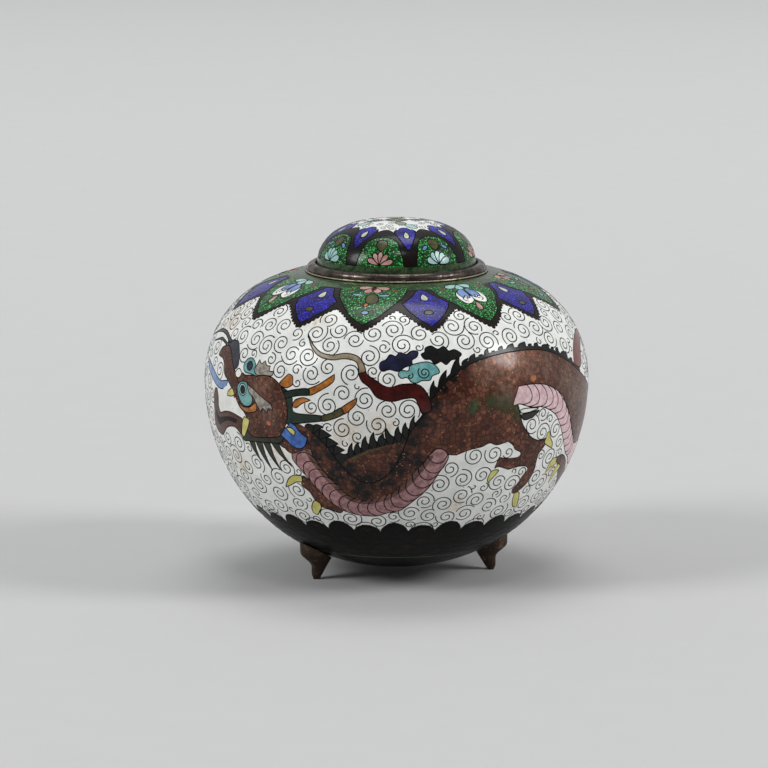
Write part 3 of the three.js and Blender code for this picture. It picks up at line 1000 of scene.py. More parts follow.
def lay_body_of_dragon(picture):
    """The long scaly body: out of the mane, round in a hook, over to the right and round the back."""
    back, low = edges(TAIL)
    side = [(a[0] * 0.34 + b[0] * 0.66, a[1] * 0.34 + b[1] * 0.66) for a, b in zip(back, low)]
    roots = [(8, 1.5), (9.6, 4.5), (12, 8), (15.4, 10), (19.5, 14), (22, 15), (25.5, 16), (28, 16.6),
        (30.5, 17.1), (33, 17.6), (36, 17.9), (40.5, 18.3), (45.5, 18.1), (48, 17.8), (51, 17.3),
        (56, 15.8), (58, 15), (60.5, 14), (65, 11), (68, 9.5)]
    tips = [(9.2, 6.8), (11, 10.4), (15, 13.6), (19.8, 18.6), (22.4, 17), (24.8, 18.3), (27.4, 17.8),
        (29.7, 19.6), (32, 18.6), (35.2, 19.9), (39.7, 20.3), (44.9, 20.2), (47.4, 19.2), (50.4, 19.2),
        (55.3, 17.9), (57.6, 16.6), (60, 16.1), (64.4, 13.9), (67, 11.4)]
    spikes(picture, roots, tips, (1.5, -3.0))
    tail_tips = [((a[0] + 3 * b[0]) / 4, (a[1] + b[1]) / 2 + 2.6) for a, b in zip(back[::2], back[2::2])]
    spikes(picture, back[::2], tail_tips, (0.0, -2.0))
    picture.cell(shape([(u, v + 1.3) for u, v in SPINE[17:]], [(u, v - 3.0) for u, v in SPINE[:16:-1]]),
        "fin", wired=False)
    cells(picture, "fin", [(-27, -4.5), (-24, -5), (-22, -6.8), (-20.3, -9.4), (-18, -12), (-16, -13.6),
        (-14, -13), (-11, -11.6), (-8, -9.8), (-5, -8.8), (-2, -7.6), (1, -6.6), (4, -4.4), (7, -1),
        (8, 1), (8, -4), (5, -9), (3, -13), (1, -18), (-3, -23), (-8, -25.5), (-13, -24), (-17, -20),
        (-20, -16), (-24, -11), (-28, -8)])
    spikes(picture, [(-24.6, -4.6), (-22.8, -5.6), (-20.8, -8.2), (-18.6, -10.9), (-16.6, -12.8)],
        [(-21.6, -4.9), (-19.2, -7.6), (-17.2, -10.2), (-15.4, -12.2)], (-1.4, -2.4))
    spikes(picture, [(-14.6, -13.6), (-12.6, -12.8), (-10.4, -11.5), (-8, -10.2), (-5.6, -9.4), (-3, -8.4),
        (-0.6, -7.6), (1.6, -6.6), (3.6, -5), (5.4, -3)], [(-13.0, -9.6), (-11.2, -9.2), (-9.0, -7.2),
        (-6.6, -5.8), (-3.8, -6.2), (-3.0, -4.4), (0.5, -3.8), (2.6, -2.6), (5.2, -0.4)], (0.5, -3.0),
        lean=0.3)
    cells(picture, "scales", [(-15.8, -16.4), (-12.5, -14), (-8.5, -11.9), (-4.5, -10.6), (-0.5, -9.5),
        (3.2, -8.4), (3.4, -11), (1.8, -16), (-1, -20.5), (-4.5, -24), (-9, -25.5), (-14, -23),
        (-16.6, -19)], wired=False)
    cells(picture, "olive", [(-13.6, -14.9), (-11, -13.4), (-8, -11.9), (-5, -10.9), (-3, -10.4),
        (-5, -11.5), (-9, -13.0), (-12, -14.9)], wired=False)
    picture.cell(shape(SPINE + back[1:], low[::-1], KEEL[::-1], [(36.6, 2.6)] + FORELEG[-1][:0:-1],
        [FORELEG[-1][0]] + FORELEG[-2][:0:-1], *[[after[0]] + before[:0:-1] for after,
        before in zip(FORELEG[-2:0:-1], FORELEG[-3::-1])], [FORELEG[0][0]] + BREAST[::-1]), "scales")
    picture.cell(shape(THROAT, BREAST[::-1]), "rose")
    inner = [(a * 0.76 + c * 0.24, b * 0.76 + d * 0.24) for (a, b), (c, d) in zip(BREAST[:-1],
        [THROAT[round(i * 20 / 15)] for i in range(15)])]
    picture.cell(shape(inner, BREAST[-2::-1]), "rose brown", wired=False)
    plates(picture, BREAST, THROAT, 20, 1)
    picture.cell(shape(UNDERSIDE + side[1:], low[::-1] + KEEL[::-1]), "pale rose")
    plates(picture, UNDERSIDE, KEEL, 14, -1, 1.35)
    plates(picture, side[:-2], low[:-2], 46, -1)


def lay_limbs(picture):
    cells(picture, "yellow", [[(51, -12.3), (51.2, -10.5), (52.5, -10.3), (53, -12), (55, -14.5)],
        [(55.3, -16.3), (52.5, -15), (50.7, -13.8)]], [[(32, -20.5), (33.3, -21), (31.8, -23.2)],
        [(30.3, -25.2), (29.8, -23.5), (30.6, -21)]], [[(43.3, -31), (45.5, -31), (47.5, -35)],
        [(48.5, -37.8), (46, -37), (44, -34)]])
    cells(picture, "scales", [(-31.5, -23.5), (-30, -22.6), (-28, -24.5), (-25.5, -28), (-22.5, -32),
        (-19, -35), (-20.5, -36.4), (-24, -35), (-27, -34.2), (-28, -32.5), (-29.5, -28.5),
        (-31.5, -26.5)])
    cells(picture, "yellow", [[(-31, -22.6), (-34, -22.8), (-36.5, -24.5)],
        [(-38.8, -27.9), (-36, -26.6), (-33.5, -25.2), (-31.3, -24.8)]], [[(-26.8, -33), (-28.7, -32),
        (-30.7, -35)], [(-31, -37.4), (-29.5, -38.2), (-28, -36.4), (-26.8, -34.7)]])
    cells(picture, "scales", [[(60, -20.8), (64, -20.2), (69, -22.6), (75, -27.2), (80, -30), (84, -28.4)],
        [(86, -21), (90, -14.5), (97, -12.8), (103, -17), (102, -26), (97, -33), (90, -37.8), (83, -38),
        (76, -34.8), (70, -30), (66, -26.4), (62.4, -23)]])
    cells(picture, "yellow", [[(60.6, -20.4), (58, -20.6), (56.6, -22.6)],
        [(56.2, -25.4), (58.4, -23.8), (61.2, -23)]], [[(64, -23.4), (62.5, -25), (62, -27.6)],
        [(62.6, -30.6), (64.4, -28), (66.6, -25)]])
    cells(picture, "scales", [[(128, -19), (124, -24), (127, -30), (134, -33), (138, -37), (143, -36),
        (141, -31), (136, -27), (137, -20), (139, -12)]])
    cells(picture, "yellow", [[(137, -35), (134.5, -36.4)], [(133.4, -39.4), (137, -38.9),
        (139.4, -37.4)]], [[(141, -34), (144, -34.6)], [(148.4, -37.6), (145, -38.4), (141, -37.4)]])
    cells(picture, "leaf green", [[(20.8, -0.4), (22, 1.0), (22.8, 3.0), (24.2, 4.6)],
        [(24.0, 1.8), (23, -0.2)]], wired=False)
    cells(picture, "blank white", [[(38.5, -1.2), (41, -0.9), (46, -1.5)], [(42.4, -2.3), (39.4, -2.3)]])
    cells(picture, "dark olive", [[(38.6, -2.8), (42, -2.5), (46.4, -2.3)], [(43.6, -4.2), (40.4, -4.6)]])
    picture.petal("coral", (43.4, 7.9), (45.6, 8.6), 1.9, wired=False)


def lay_head(picture):
    """A dragon's head seen from the side, its upper lip curled up over an open jaw."""
    band(picture, [(-64, 17.2, 0.5), (-70, 19.4, 0.55), (-77, 19.4, 0.5), (-86, 16.4, 0.1)], "slate")
    band(picture, [(-66, 16.2, 0.3), (-72, 17.2, 0.4), (-79, 15.4, 0.1)], "slate")
    cells(picture, "lobe blue", [[(-59.6, 5.4), (-61.5, 5), (-64, 4.5), (-66, 4.8), (-69, 6), (-75, 8.2)],
        [(-82, 9.6), (-76, 6), (-70, 3.5), (-66.5, 2.2), (-63.5, 2), (-61, 3)]])
    cells(picture, "blank white", [(-56, 0.6), (-58.6, 2.6), (-60.4, 3.4), (-63.4, 1.6), (-65.2, 1.8),
        (-66, -1), (-66, -4), (-65, -5.6), (-60, -4.4), (-55, -4.4), (-51.6, -5), (-51.4, -3.6),
        (-53.6, -1.6)], wired=False)
    cells(picture, "jaw brown", [[(-52, -5.8), (-56, -4.9), (-59, -4.7), (-62, -5.1), (-65, -5.9)],
        [(-66.2, -4), (-66, -1)], [(-66.8, 1.4), (-68.4, 1.4), (-69.5, -0.6), (-70, -3.6), (-70.5, -7),
        (-71.5, -10.5), (-70.6, -12.7), (-67, -13.8), (-64.5, -12.6), (-62, -10.6), (-59, -9.5),
        (-56, -9.6), (-53, -12), (-51, -12.2)]])
    cells(picture, "smoke", [(-55, -6.6), (-59, -6.3), (-63, -7), (-66.4, -7.6), (-68.4, -5.6),
        (-69.2, -8), (-67.4, -10.4), (-63.6, -9), (-60, -7.8), (-56, -7.9)], wired=False)
    for root, tip in ((-49.4, (-46.3, -19.6)), (-46.2, (-42.2, -22.4)), (-43.0, (-38.4, -21.9)),
            (-39.8, (-33.7, -19.8)), (-37.2, (-33.2, -14.6))):
        bow = (root + tip[0]) / 2
        middle = (tip[1] - 11) / 2
        cells(picture, "dark olive", [[(root - 1.3, -11), (bow - 1.2, middle)],
            [tip, (bow + 0.6, middle - 0.2), (root + 1.7, -11)]])
    cells(picture, "dark olive", [(-53, -11.6), (-51, -9.5), (-45, -9.8), (-38, -9), (-35.4, -9.6),
        (-36.5, -11.6), (-40, -12.2), (-45, -12.6), (-50, -13), (-52.6, -13.2)])
    cells(picture, "scales", [[(-27, -12.5), (-33, -15), (-36, -12), (-34, -8)], [(-33, -3), (-25.5, -7)]],
        wired=False)
    cells(picture, "dark green", [[(-36.4, 6.6), (-34.4, 6), (-32.6, 5), (-31.6, 3), (-31.6, 0.6),
        (-30.4, -1.2), (-22, -1.4)], [(-21.5, -3), (-27, -4), (-31, -4.7), (-34, -4.7), (-34.6, 2)]])
    cells(picture, "orange", [[(-37, 7.2), (-35.5, 9)], [(-33.7, 10.9), (-32.2, 10.2)],
        [(-31.8, 7.6), (-34, 6.4)]], [[(-26.6, 6.8), (-23.5, 8.3), (-20.8, 10.3)],
        [(-18.6, 12), (-18.8, 9.6), (-22, 7), (-26, 4.8)]], [[(-31.6, 0.8), (-30.7, 2.9), (-28, 3.9)],
        [(-25.6, 3.3), (-28.4, 2), (-30.2, 0.5)]], [[(-16.2, 1.5), (-14, 3.2)],
        [(-11.4, 4.9), (-12, 2.6), (-15.2, -0.4)]])
    cells(picture, "dark green", [[(-35.6, 4.8), (-31, 6.2), (-26.6, 6.8)],
        [(-26, 4.8), (-30, 4.3), (-35, 3)]])
    cells(picture, "olive", [[(-22.2, -1.4), (-19, -0.2), (-16.2, 1.5)], [(-15.2, -0.4), (-18, -1.9),
        (-21.8, -3.1)]])
    cells(picture, "ear blue", [[(-36.4, -8.8), (-34.8, -6.8), (-33.6, -6)],
        [(-32.6, -4.4), (-30.8, -5.4), (-29.4, -7.2)], [(-27, -9), (-28, -11.7), (-30, -12.9),
        (-32.6, -12.2), (-34, -10.8)]])
    cells(picture, "yellow", [[(-34.2, -6.3), (-32.2, -6.2), (-31, -7.4)], [(-31.4, -8.8), (-33, -7.6)]])
    cells(picture, "slate", [(-66.6, 17.5), (-64.5, 17), (-62.5, 18.3), (-59.5, 18.2), (-57.5, 16.2),
        (-56, 13.6), (-55.4, 10.8), (-56.8, 9.4), (-58.6, 10.4), (-61, 13), (-64, 15.2)])
    cells(picture, "scales", [(-55, 6.8), (-53, 8.8), (-51, 8.4), (-48.5, 8.7), (-46, 8.9), (-43, 9.6),
        (-40, 9.2), (-37.5, 8), (-35.8, 6.2), (-34.2, 3.5), (-33.4, 0), (-33.4, -3), (-34.2, -5.6),
        (-35.5, -8), (-37, -9.7), (-40, -10.3), (-44, -10.9), (-48, -11.1), (-50, -9.6), (-50.8, -7),
        (-50, -5.2), (-51, -3.5), (-53, -2.1), (-54.6, 0), (-55.8, 2), (-56.4, 4)],
        [[(-69, 14.6), (-66.5, 15.8), (-64, 16), (-62, 15), (-60, 12.7), (-58.2, 10.4), (-55.6, 8)],
        [(-53.8, 5), (-55.6, 0.4)], [(-56.4, 2.6), (-58.4, 4.1), (-60, 5.4), (-62.5, 7), (-64, 10),
        (-66, 11.6), (-69.6, 12.2)]])
    cells(picture, "jaw brown", [(-68, 13.6), (-65.6, 14.2), (-63.4, 13.4), (-61, 10.6), (-58, 8.2),
        (-56.8, 6), (-59.4, 7.2), (-62.2, 9), (-64, 11.8)], wired=False)
    cells(picture, "blank white", [(-56.2, 8.6), (-54.6, 10), (-53, 8.8), (-53.8, 7.2), (-55.4, 7.2)])
    cells(picture, "yellow", [[(-59.8, 0.5), (-59.2, 1.9), (-57, 3.2)], [(-55.6, 1.4), (-57.4, 0.6)]],
        [[(-51, -5), (-48.8, -5.8), (-49.8, -8.6)], [(-52, -11.9), (-53.2, -11.4), (-52.6, -8.6),
        (-52, -6.6)]])
    cells(picture, "turquoise", [(-52.6, 11.6), (-51.4, 13.6), (-49.2, 14.1), (-47.4, 12.6), (-46.2, 10.4),
        (-45.4, 8.7), (-48.4, 9.1), (-51.6, 9.4)])
    cells(picture, "grey", [[(-47.6, 10.8), (-46.6, 12.2)], [(-46, 14.1), (-44.8, 12.9)],
        [(-43.5, 14), (-42.5, 12.6)], [(-41, 12.6), (-41, 11)], [(-39.3, 11), (-39.8, 9.6), (-43, 9.4),
        (-46, 9.1)]])
    picture.petal("slate", (-50.2, 12.9), (-49.2, 10.2), 2.7)
    cells(picture, "orange", [(-53.4, -0.6), (-52, -1.6), (-50.4, -1.8), (-48, -1.4), (-46.4, -0.2),
        (-45.2, 0.2), (-45.3, -2.2), (-47.5, -3.2), (-50.2, -3.4), (-52.4, -2.2)])
    cells(picture, "turquoise", [(-54.2, 4.4), (-52.8, 6), (-50.6, 6.3), (-48.8, 5.2), (-47.6, 3),
        (-46.9, 0.6), (-48.4, -1.2), (-50.6, -1.4), (-52.4, -0.2), (-53.8, 2)])
    picture.petal("pale turquoise", (-52.0, 5.6), (-51.2, 1.8), 3.8)
    picture.petal("ink", (-51.9, 4.9), (-51.2, 2.4), 2.4)
    cells(picture, "grey", [[(-49.6, 5.6), (-47.5, 4.9), (-45.5, 3.9), (-43.5, 2.7), (-41.5, 1.7),
        (-39.4, 0.5)], [(-38.6, -1.5), (-40.3, -0.9)], [(-41, -2.5), (-42.5, -1.2)],
        [(-43.6, -2.3), (-44.8, -0.6), (-45.8, 0.8)], [(-47, 2.2), (-48.6, 3.2)]])
    picture.petal("coral", (-41.4, -5.6), (-39.6, -5.7), 1.5, wired=False)


def lay_ribbon_and_clouds(picture):
    band(picture, [(8.6, 0.5, 1.5), (7.7, 4.4, 2.0), (5.8, 7.0, 2.2), (2, 7.1, 2.3), (-1.5, 6.2, 2.2),
        (-4.6, 7.0, 2.1), (-7, 9.4, 1.5), (-9.3, 11, 1.3), (-10.2, 13.2, 1.1)], "maroon")
    band(picture, [(-10.2, 13.0, 1.1), (-11, 15.8, 0.9), (-12.6, 17.4, 0.9), (-16, 18, 0.9),
        (-20, 17.3, 0.8), (-24, 18, 0.7), (-27, 20.2, 0.5), (-30.4, 24.6, 0.05)], "tan")
    cells(picture, "navy", [(-5, 14.2), (-4.9, 16.2), (-3.2, 17.2), (-2, 18.8), (-0.2, 18.3), (1, 19.6),
        (3, 18.9), (4.6, 20), (6.6, 19.8), (6.2, 18), (4.7, 17), (4.6, 15.4), (2.6, 14.8), (0.6, 13.4),
        (-2, 14), (-4, 13.4)])
    cells(picture, "ink", [(7.6, 18.8), (8.8, 19.6), (9, 20.9), (11, 21.6), (13, 20.4), (15, 21.3),
        (16.4, 19.7), (18.4, 20), (20.4, 18.4), (18.6, 17), (16.8, 16.6), (15, 15.2), (13.6, 16.3),
        (11.6, 15.5), (10.4, 17), (8.6, 17.2)])
    cells(picture, "turquoise", [(0.5, 12.3), (1.2, 13.7), (3.5, 13.6), (4, 15.1), (6.4, 16), (9.6, 16.3),
        (11.9, 14.9), (12.8, 12.8), (10.7, 11.9), (9.8, 10.5), (7.4, 10.4), (6, 9.7), (4.4, 10),
        (3.1, 11.5), (1.5, 11.2)])
    picture.scroll((8.3, 12.9), 2.2, 1.7, 2.4)
    picture.scroll((4.0, 11.9), 1.1, 1.0, 1.0, -1)
    cells(picture, "brick", [[(67.6, 9.4), (70, 13.4), (75, 16.6), (83, 18.4)],
        [(90, 17.4), (84, 15), (78, 12.4), (73, 7.6)]])
    for u, v, enamel, other in ((99, 9, "turquoise", "navy"), (121, 8, "ink", "lobe blue"),
            (151, 21, "turquoise", "ink"), (166, -24, "navy", "turquoise"), (-168, 6, "turquoise", "navy"),
            (-147, -22, "ink", "turquoise"), (-118, -12, "turquoise", "lobe blue"),
            (-128, 17, "navy", "turquoise"), (-98, -30, "navy", "turquoise")):
        cloud(picture, u, v, enamel, other)
    band(picture, [(-104, 13, 0.05), (-109, 15, 1.4), (-116, 9, 1.8), (-124, 4, 1.8), (-133, 5, 1.6),
        (-141, -2, 1.4), (-148, -6, 0.9), (-155, -5, 0.05)], "maroon")
    cells(picture, "maroon", [[(219, -14), (219, -8), (223, -2), (230, 1)], [(226, -5), (232, -4)],
        [(236, -6), (229, -9), (234, -13)], [(227, -14), (222, -16)]])


def cloud(picture, u, v, enamel, other):
    """A lobed cloud with a smaller one under it."""
    lobes = [(-7, 0), (-6.4, 2.2), (-3.8, 2.2), (-2.4, 4.2), (0.6, 4.4), (2.2, 3), (4.8, 3), (7.4, 1.2),
        (6.6, -1), (3, -1.6), (0, -1), (-4, -1.8)]
    cells(picture, enamel, [(u + a, v + b) for a, b in lobes])
    cells(picture, other, [(u + 0.62 * a + 2.6, v - 3.0 + 0.62 * b) for a, b in lobes])
    for a, b, radius in ((-4, 0.2, 1.2), (0, 1.8, 1.5), (4.4, 0.8, 1.2)):
        picture.scroll((u + a, v + b), radius)


def lay_scrolls(picture, low, high, sizes):
    """Packs scrolls into the white ground, the largest first, each tucked behind what is there."""
    on = picture.on
    chance = random.Random(7)
    columns = np.arange(-on.round / 2, on.round / 2, 0.8)
    rows = np.arange(low, high, 0.8)
    places = np.array([(x, y) for y in rows for x in columns])
    places = places[~picture.covered(places)]
    walls = [outline for outline, _, _ in picture.cells]
    walls = on.place(np.concatenate(walls), 0.0)[0] / MM
    tree = KDTree(len(walls))
    for i, wall in enumerate(walls):
        tree.insert(wall, i)
    tree.balance()
    solid = on.place(places, 0.0)[0] / MM
    room = np.array([tree.find(spot)[2] for spot in solid]) / 0.66
    placed = []
    for size in sizes:
        while (room >= size).any():
            fits = np.flatnonzero(room >= size)
            spot = fits[int(np.argmin(room[fits]))]
            radius = size * chance.uniform(0.94, 1.06)
            line = whirl(places[spot], radius, 0.75 + 0.32 * radius, chance.uniform(0, 2 * math.pi),
                chance.choice((-1, 1)), on)
            shown = ~picture.covered(line)
            at = on.place(line, 0.0)[0] / MM
            for centre, reach in placed:
                shown &= ((at - centre) ** 2).sum(1) > (reach * 0.97) ** 2
            if shown.mean() > 0.4:
                for part in stretches(line, shown[1:] & shown[:-1]):
                    if len(part) > 5:
                        picture.line(part)
            placed.append((solid[spot], radius))
            apart = np.sqrt(((solid - solid[spot]) ** 2).sum(1)) / 0.8 - radius
            room = np.minimum(room, apart)


LID_POINTS = [45 * k - 12.5 for k in range(8)]  # degrees round the lid of its eight arches


def lay_lid(picture):
    """Eight green arches round the lid, blue drops between them and a white star on top."""
    on = picture.on
    picture.circle("aubergine", 30.6)
    for k, u in enumerate(LID_POINTS):
        left = [(u - 17.9, 30.6), (u - 17.3, 28.6), (u - 15.7, 25.4), (u - 14.2, 22.6)]
        over = [(u - 9.6, 20.4), (u, 19.4), (u + 9.6, 20.4)]
        right = [(2 * u - a, v) for a, v in left[::-1]]
        cells(picture, "green foil", [left + over + right, [(u + 17.4, 30.8), (u, 31.0),
            (u - 17.4, 30.8)]], wired=False)
        picture.line(curve(spots(left + over + right, on)))
        picture.petal("olive", (u, 25.4), (u + 0.5, 20.8), 4.0, 0.2)
        flower, width = ("pink", 1.9) if k % 2 == 0 else ("pale turquoise", 2.5)
        for a, v in ((-9.4, 28.4), (-5.2, 26.2), (0.4, 25.6), (5.8, 26.6), (10, 28.8)):
            picture.petal(flower, (u, 30.2), (u + a, v), width, 0.6)
        if k % 2:
            for way in (-1, 1):
                picture.petal("lobe blue", (u + way * 6, 23.4), (u + way * 11.4, 25.2), 1.5, 0.3)
        drop = u + 22.3
        side = [(3, 12.0), (10.4, 12.8), (12.4, 14.8), (10.6, 17.6), (6.8, 20.4), (3.2, 23.2)]
        cells(picture, "blue foil", [[(drop, 11.8)] + [(drop + a, v) for a, v in side],
            [(drop, 25.2)] + [(drop - a, v) for a, v in side[::-1]]])
        picture.petal("pearl", (drop + 0.6, 16.0), (drop + 0.2, 20.0), 2.0, 0.5)
    star = []
    for u in LID_POINTS:
        star += [[(u - 22.5, 12.5), (u - 17, 13.2)], [(u - 14.5, 15.1), (u - 12, 14.3)],
            [(u - 9, 16.4), (u - 4, 15), (u, 14.6), (u + 4, 15)], [(u + 9, 16.4), (u + 12, 14.3)],
            [(u + 14.5, 15.1), (u + 17, 13.2)]]
    cells(picture, "white", star)
    for k, u in enumerate(LID_POINTS):
        picture.scroll((u - 6, 13.0), 1.5, 1.4, k, 1, LID_WIRE)
        picture.scroll((u + 6, 13.0), 1.5, 1.4, k, -1, LID_WIRE)
        picture.scroll((u + 1, 10.2), 1.6, 1.5, k + 2, 1, LID_WIRE)
        picture.scroll((u + 22.5, 9.6), 1.5, 1.5, k + 1, -1, LID_WIRE)
        if k % 2:
            picture.petal("pale turquoise", (u - 14, 8.6), (u - 5, 13.8), 3.2, 0.2)
            picture.petal("sage" if k % 4 == 1 else "slate", (u - 26, 3.8), (u - 20, 9.6), 3.4, 0.2)
        else:
            picture.scroll((u, 6.6), 1.7, 1.6, k, 1, LID_WIRE)
    picture.circle("olive", 3.6)
    picture.circle("tan", 2.6)
    for k in range(6):
        picture.line(np.array(spots([(60 * k, 0.5), (60 * k, 2.5)], on)), 0.24)


# Turned and cast parts

def deselect():
    if bpy.context.object and bpy.context.object.mode != "OBJECT":
        bpy.ops.object.mode_set(mode="OBJECT")
    bpy.ops.object.select_all(action="DESELECT")


def turned(name, profile, steps, material):
    """Spins a run of (radius, height) in mm round the axis, with the outside on the run's right."""
    deselect()
    r, z = profile[0]
    bpy.ops.mesh.primitive_plane_add(size=MM, location=(0, -r * MM, z * MM))
    piece = bpy.context.object
    piece.name = piece.data.name = name
    bpy.ops.object.transform_apply(location=True)
    bpy.ops.object.mode_set(mode="EDIT")
    bpy.ops.mesh.merge(type="CENTER")
    for (r, z), (next_r, next_z) in zip(profile, profile[1:]):
        move = (0, -(next_r - r) * MM, (next_z - z) * MM)
        bpy.ops.mesh.extrude_region_move(TRANSFORM_OT_translate={"value": move})
    bpy.ops.mesh.select_all(action="SELECT")
    bpy.ops.mesh.spin(steps=steps, angle=2 * math.pi, center=(0, 0, 0), axis=(0, 0, 1))
    bpy.ops.mesh.select_all(action="SELECT")
    bpy.ops.mesh.remove_doubles(threshold=2e-6)
    bpy.ops.object.mode_set(mode="OBJECT")
    face = max(piece.data.polygons, key=lambda f: f.area)
    middle = face.center
    nearest = min(zip(profile, profile[1:]), key=lambda run: math.dist(((run[0][0] + run[1][0]) / 2,
        (run[0][1] + run[1][1]) / 2), (math.hypot(middle.x, middle.y) / MM, middle.z / MM)))
    along = (nearest[1][0] - nearest[0][0], nearest[1][1] - nearest[0][1])
    outward = Vector((middle.x, middle.y, 0)).normalized() * along[1] + Vector((0, 0, -along[0]))
    if face.normal.dot(outward) < 0:
        bpy.ops.object.mode_set(mode="EDIT")
        bpy.ops.mesh.select_all(action="SELECT")
        bpy.ops.mesh.flip_normals()
        bpy.ops.object.mode_set(mode="OBJECT")
    piece.data.materials.append(material)
    return piece


def only_texture_layer(piece):
    """The piece's mesh and its one set of texture places, made if it isn't there."""
    mesh = piece.data
    for other in list(mesh.uv_layers):
        if other.name != "OFBake":
            mesh.uv_layers.remove(other)
    return mesh, mesh.uv_layers.get("OFBake") or mesh.uv_layers.new(name="OFBake")


def texture_round(piece, low, high):
    """Unrolls a turned mesh into a strip of the texture, row by height and side."""
    mesh, layer = only_texture_layer(piece)
    floor = min(v.co.z for v in mesh.vertices)
    tall = max(v.co.z for v in mesh.vertices) - floor
    widest = max(math.hypot(v.co.x, v.co.y) for v in mesh.vertices)
    for face in mesh.polygons:
        middle = math.atan2(face.center.x, -face.center.y)
        for loop in face.loop_indices:
            point = mesh.vertices[mesh.loops[loop].vertex_index].co
            turn = math.atan2(point.x, -point.y)
            if turn - middle > math.pi:
                turn -= 2 * math.pi
            if middle - turn > math.pi:
                turn += 2 * math.pi
            share = 0.5 * (point.z - floor) / max(tall, 1e-9) + 0.5 * math.hypot(point.x, point.y) / widest
            layer.data[loop].uv = (0.5 + turn / (2 * math.pi), low + (high - low) * share)


def closed_vessel(name, skin, plain):
    """Joins the inlaid skin to the plain surfaces that close it, with the skin's own roundness kept."""
    deselect()
    for piece in [skin, *plain]:
        piece.select_set(True)
    bpy.context.view_layer.objects.active = skin
    bpy.ops.object.join()
    bpy.ops.object.mode_set(mode="EDIT")
    bpy.ops.mesh.select_all(action="SELECT")
    bpy.ops.mesh.remove_doubles(threshold=2e-6)
    bpy.ops.mesh.normals_make_consistent(inside=False)
    bpy.ops.object.mode_set(mode="OBJECT")
    skin.name = skin.data.name = name
    bpy.ops.object.shade_smooth_by_angle(angle=math.radians(35))
    mesh = skin.data
    kept = np.zeros(len(mesh.vertices) * 3, np.float32)
    mesh.attributes["smooth_normal"].data.foreach_get("vector", kept)
    kept = kept.reshape(-1, 3)
    plain_slots = {i for i, slot in enumerate(mesh.materials) if slot in PLAIN_FINISHES}
    normals = np.zeros((len(mesh.loops), 3), np.float32)
    for face in mesh.polygons:
        if face.material_index not in plain_slots:
            for loop in face.loop_indices:
                normals[loop] = kept[mesh.loops[loop].vertex_index]
    mesh.normals_split_custom_set(normals.tolist())
    mesh.attributes.remove(mesh.attributes["smooth_normal"])
    return skin


def superellipse_run(radius, rise, roundness, centre, start, end, count):
    """Points of a quarter outline between two shares of its angle, as (radius, height)."""
    across, up = roundness
    made = []
    for k in range(count + 1):
        angle = (start + (end - start) * k / count) * math.pi / 2
        r = radius * max(math.cos(angle), 0.0) ** (2 / across)
        made.append((r, centre + rise * math.sin(abs(angle)) ** (2 / up)))
    return made


PLAIN_FINISHES = []


def make_body():
    outline = BODY.outline
    picture = Picture(BODY)
    lay_base(picture)
    lay_body_of_dragon(picture)
    lay_limbs(picture)
    lay_head(picture)
    lay_ribbon_and_clouds(picture)
    lay_collar(picture)
    drawn = len(picture.lines)
    lay_scrolls(picture, -42.0, 35.5, (3.8, 3.4, 2.9, 2.4, 2.0))
    skin = inlaid_skin("body_skin", picture, "white", ENAMELS)
    under = []
    for k in range(15):
        s = outline.s[0] + (LOWEST_INLAY - outline.s[0]) * k / 14
        r, z, _, _ = outline.at(s, -ENAMEL_DEPTH)
        under.append((max(float(r), 0.0) if k else 0.0, float(z)))
    cap = turned("body_under", under, TURNS, ENAMELS["ink"])
    inner_radius = BODY_RADIUS - BODY_WALL
    inner_rise = UPPER_RISE - BODY_WALL
    r, z, _, _ = outline.at(HIGHEST_INLAY, -ENAMEL_DEPTH)
    up = superellipse_run(inner_radius, inner_rise, UPPER_ROUNDNESS, WIDEST, 0, 0.99, 60)
    up = [p for p in up if p[0] > MOUTH_RADIUS + 0.4]
    down = superellipse_run(inner_radius, -(WIDEST - BODY_FOOT - BODY_WALL), LOWER_ROUNDNESS, WIDEST, 0, 1,
        22)
    lip_corner = [(MOUTH_RADIUS + LIP_CHAMFER, SEAT), (MOUTH_RADIUS, SEAT - LIP_CHAMFER)]
    mouth = [(float(r), float(z)), (LIP_RADIUS, SEAT), *lip_corner,
        (MOUTH_RADIUS, SPIGOT_FOOT)]
    lip = turned("body_lip", mouth, TURNS, BARE_COPPER)
    inside = turned("body_inside", [mouth[-1]] + up[::-3][:-1] + [up[0]] + down[1:], TURNS,
        ENAMELS["counter"])
    texture_round(cap, 0.0, 0.09)
    texture_round(lip, 0.1, 0.13)
    texture_round(inside, 0.14, 0.29)
    body = closed_vessel("enamelled_body", skin, [cap, lip, inside])
    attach(body, "root")
    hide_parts("body_shell")
    scrolls = picture.free_wires(drawn)
    rest = picture.free_wires(0, drawn) + picture.seam_cut(picture.edge_wires())
    for name, wires in (("body_scroll_wires", scrolls), ("body_picture_wires", rest)):
        wire = wire_piece(name, wires, BODY, WIRE_METAL)
        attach(wire, "root")


def make_lid():
    picture = Picture(LID)
    lay_lid(picture)
    skin = inlaid_skin("lid_skin", picture, "band green", ENAMELS)
    r, z, _, _ = LID.outline.at(0.0, -ENAMEL_DEPTH)
    inner = LID_RADIUS - LID_WALL
    dome = superellipse_run(inner, LID_TOP - LID_BASE - LID_WALL, LID_ROUNDNESS, LID_BASE, 0, 1, 18)
    rim = [(inner + 0.2, LID_BASE), (float(r), float(z))]
    edge = turned("lid_edge", [dome[0], *rim], LID_TURNS, BARE_COPPER)
    inside = turned("lid_inside", dome[::-1], LID_TURNS, ENAMELS["counter"])
    texture_round(edge, 0.0, 0.015)
    for piece in (edge, inside):
        texture_inside(piece, inner)
    lid = closed_vessel("enamelled_lid", skin, [edge, inside])
    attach(lid, "root")
    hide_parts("lid")
    wire = wire_piece("lid_wires", picture.free_wires() + picture.edge_wires(), LID, WIRE_METAL)
    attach(wire, "root")


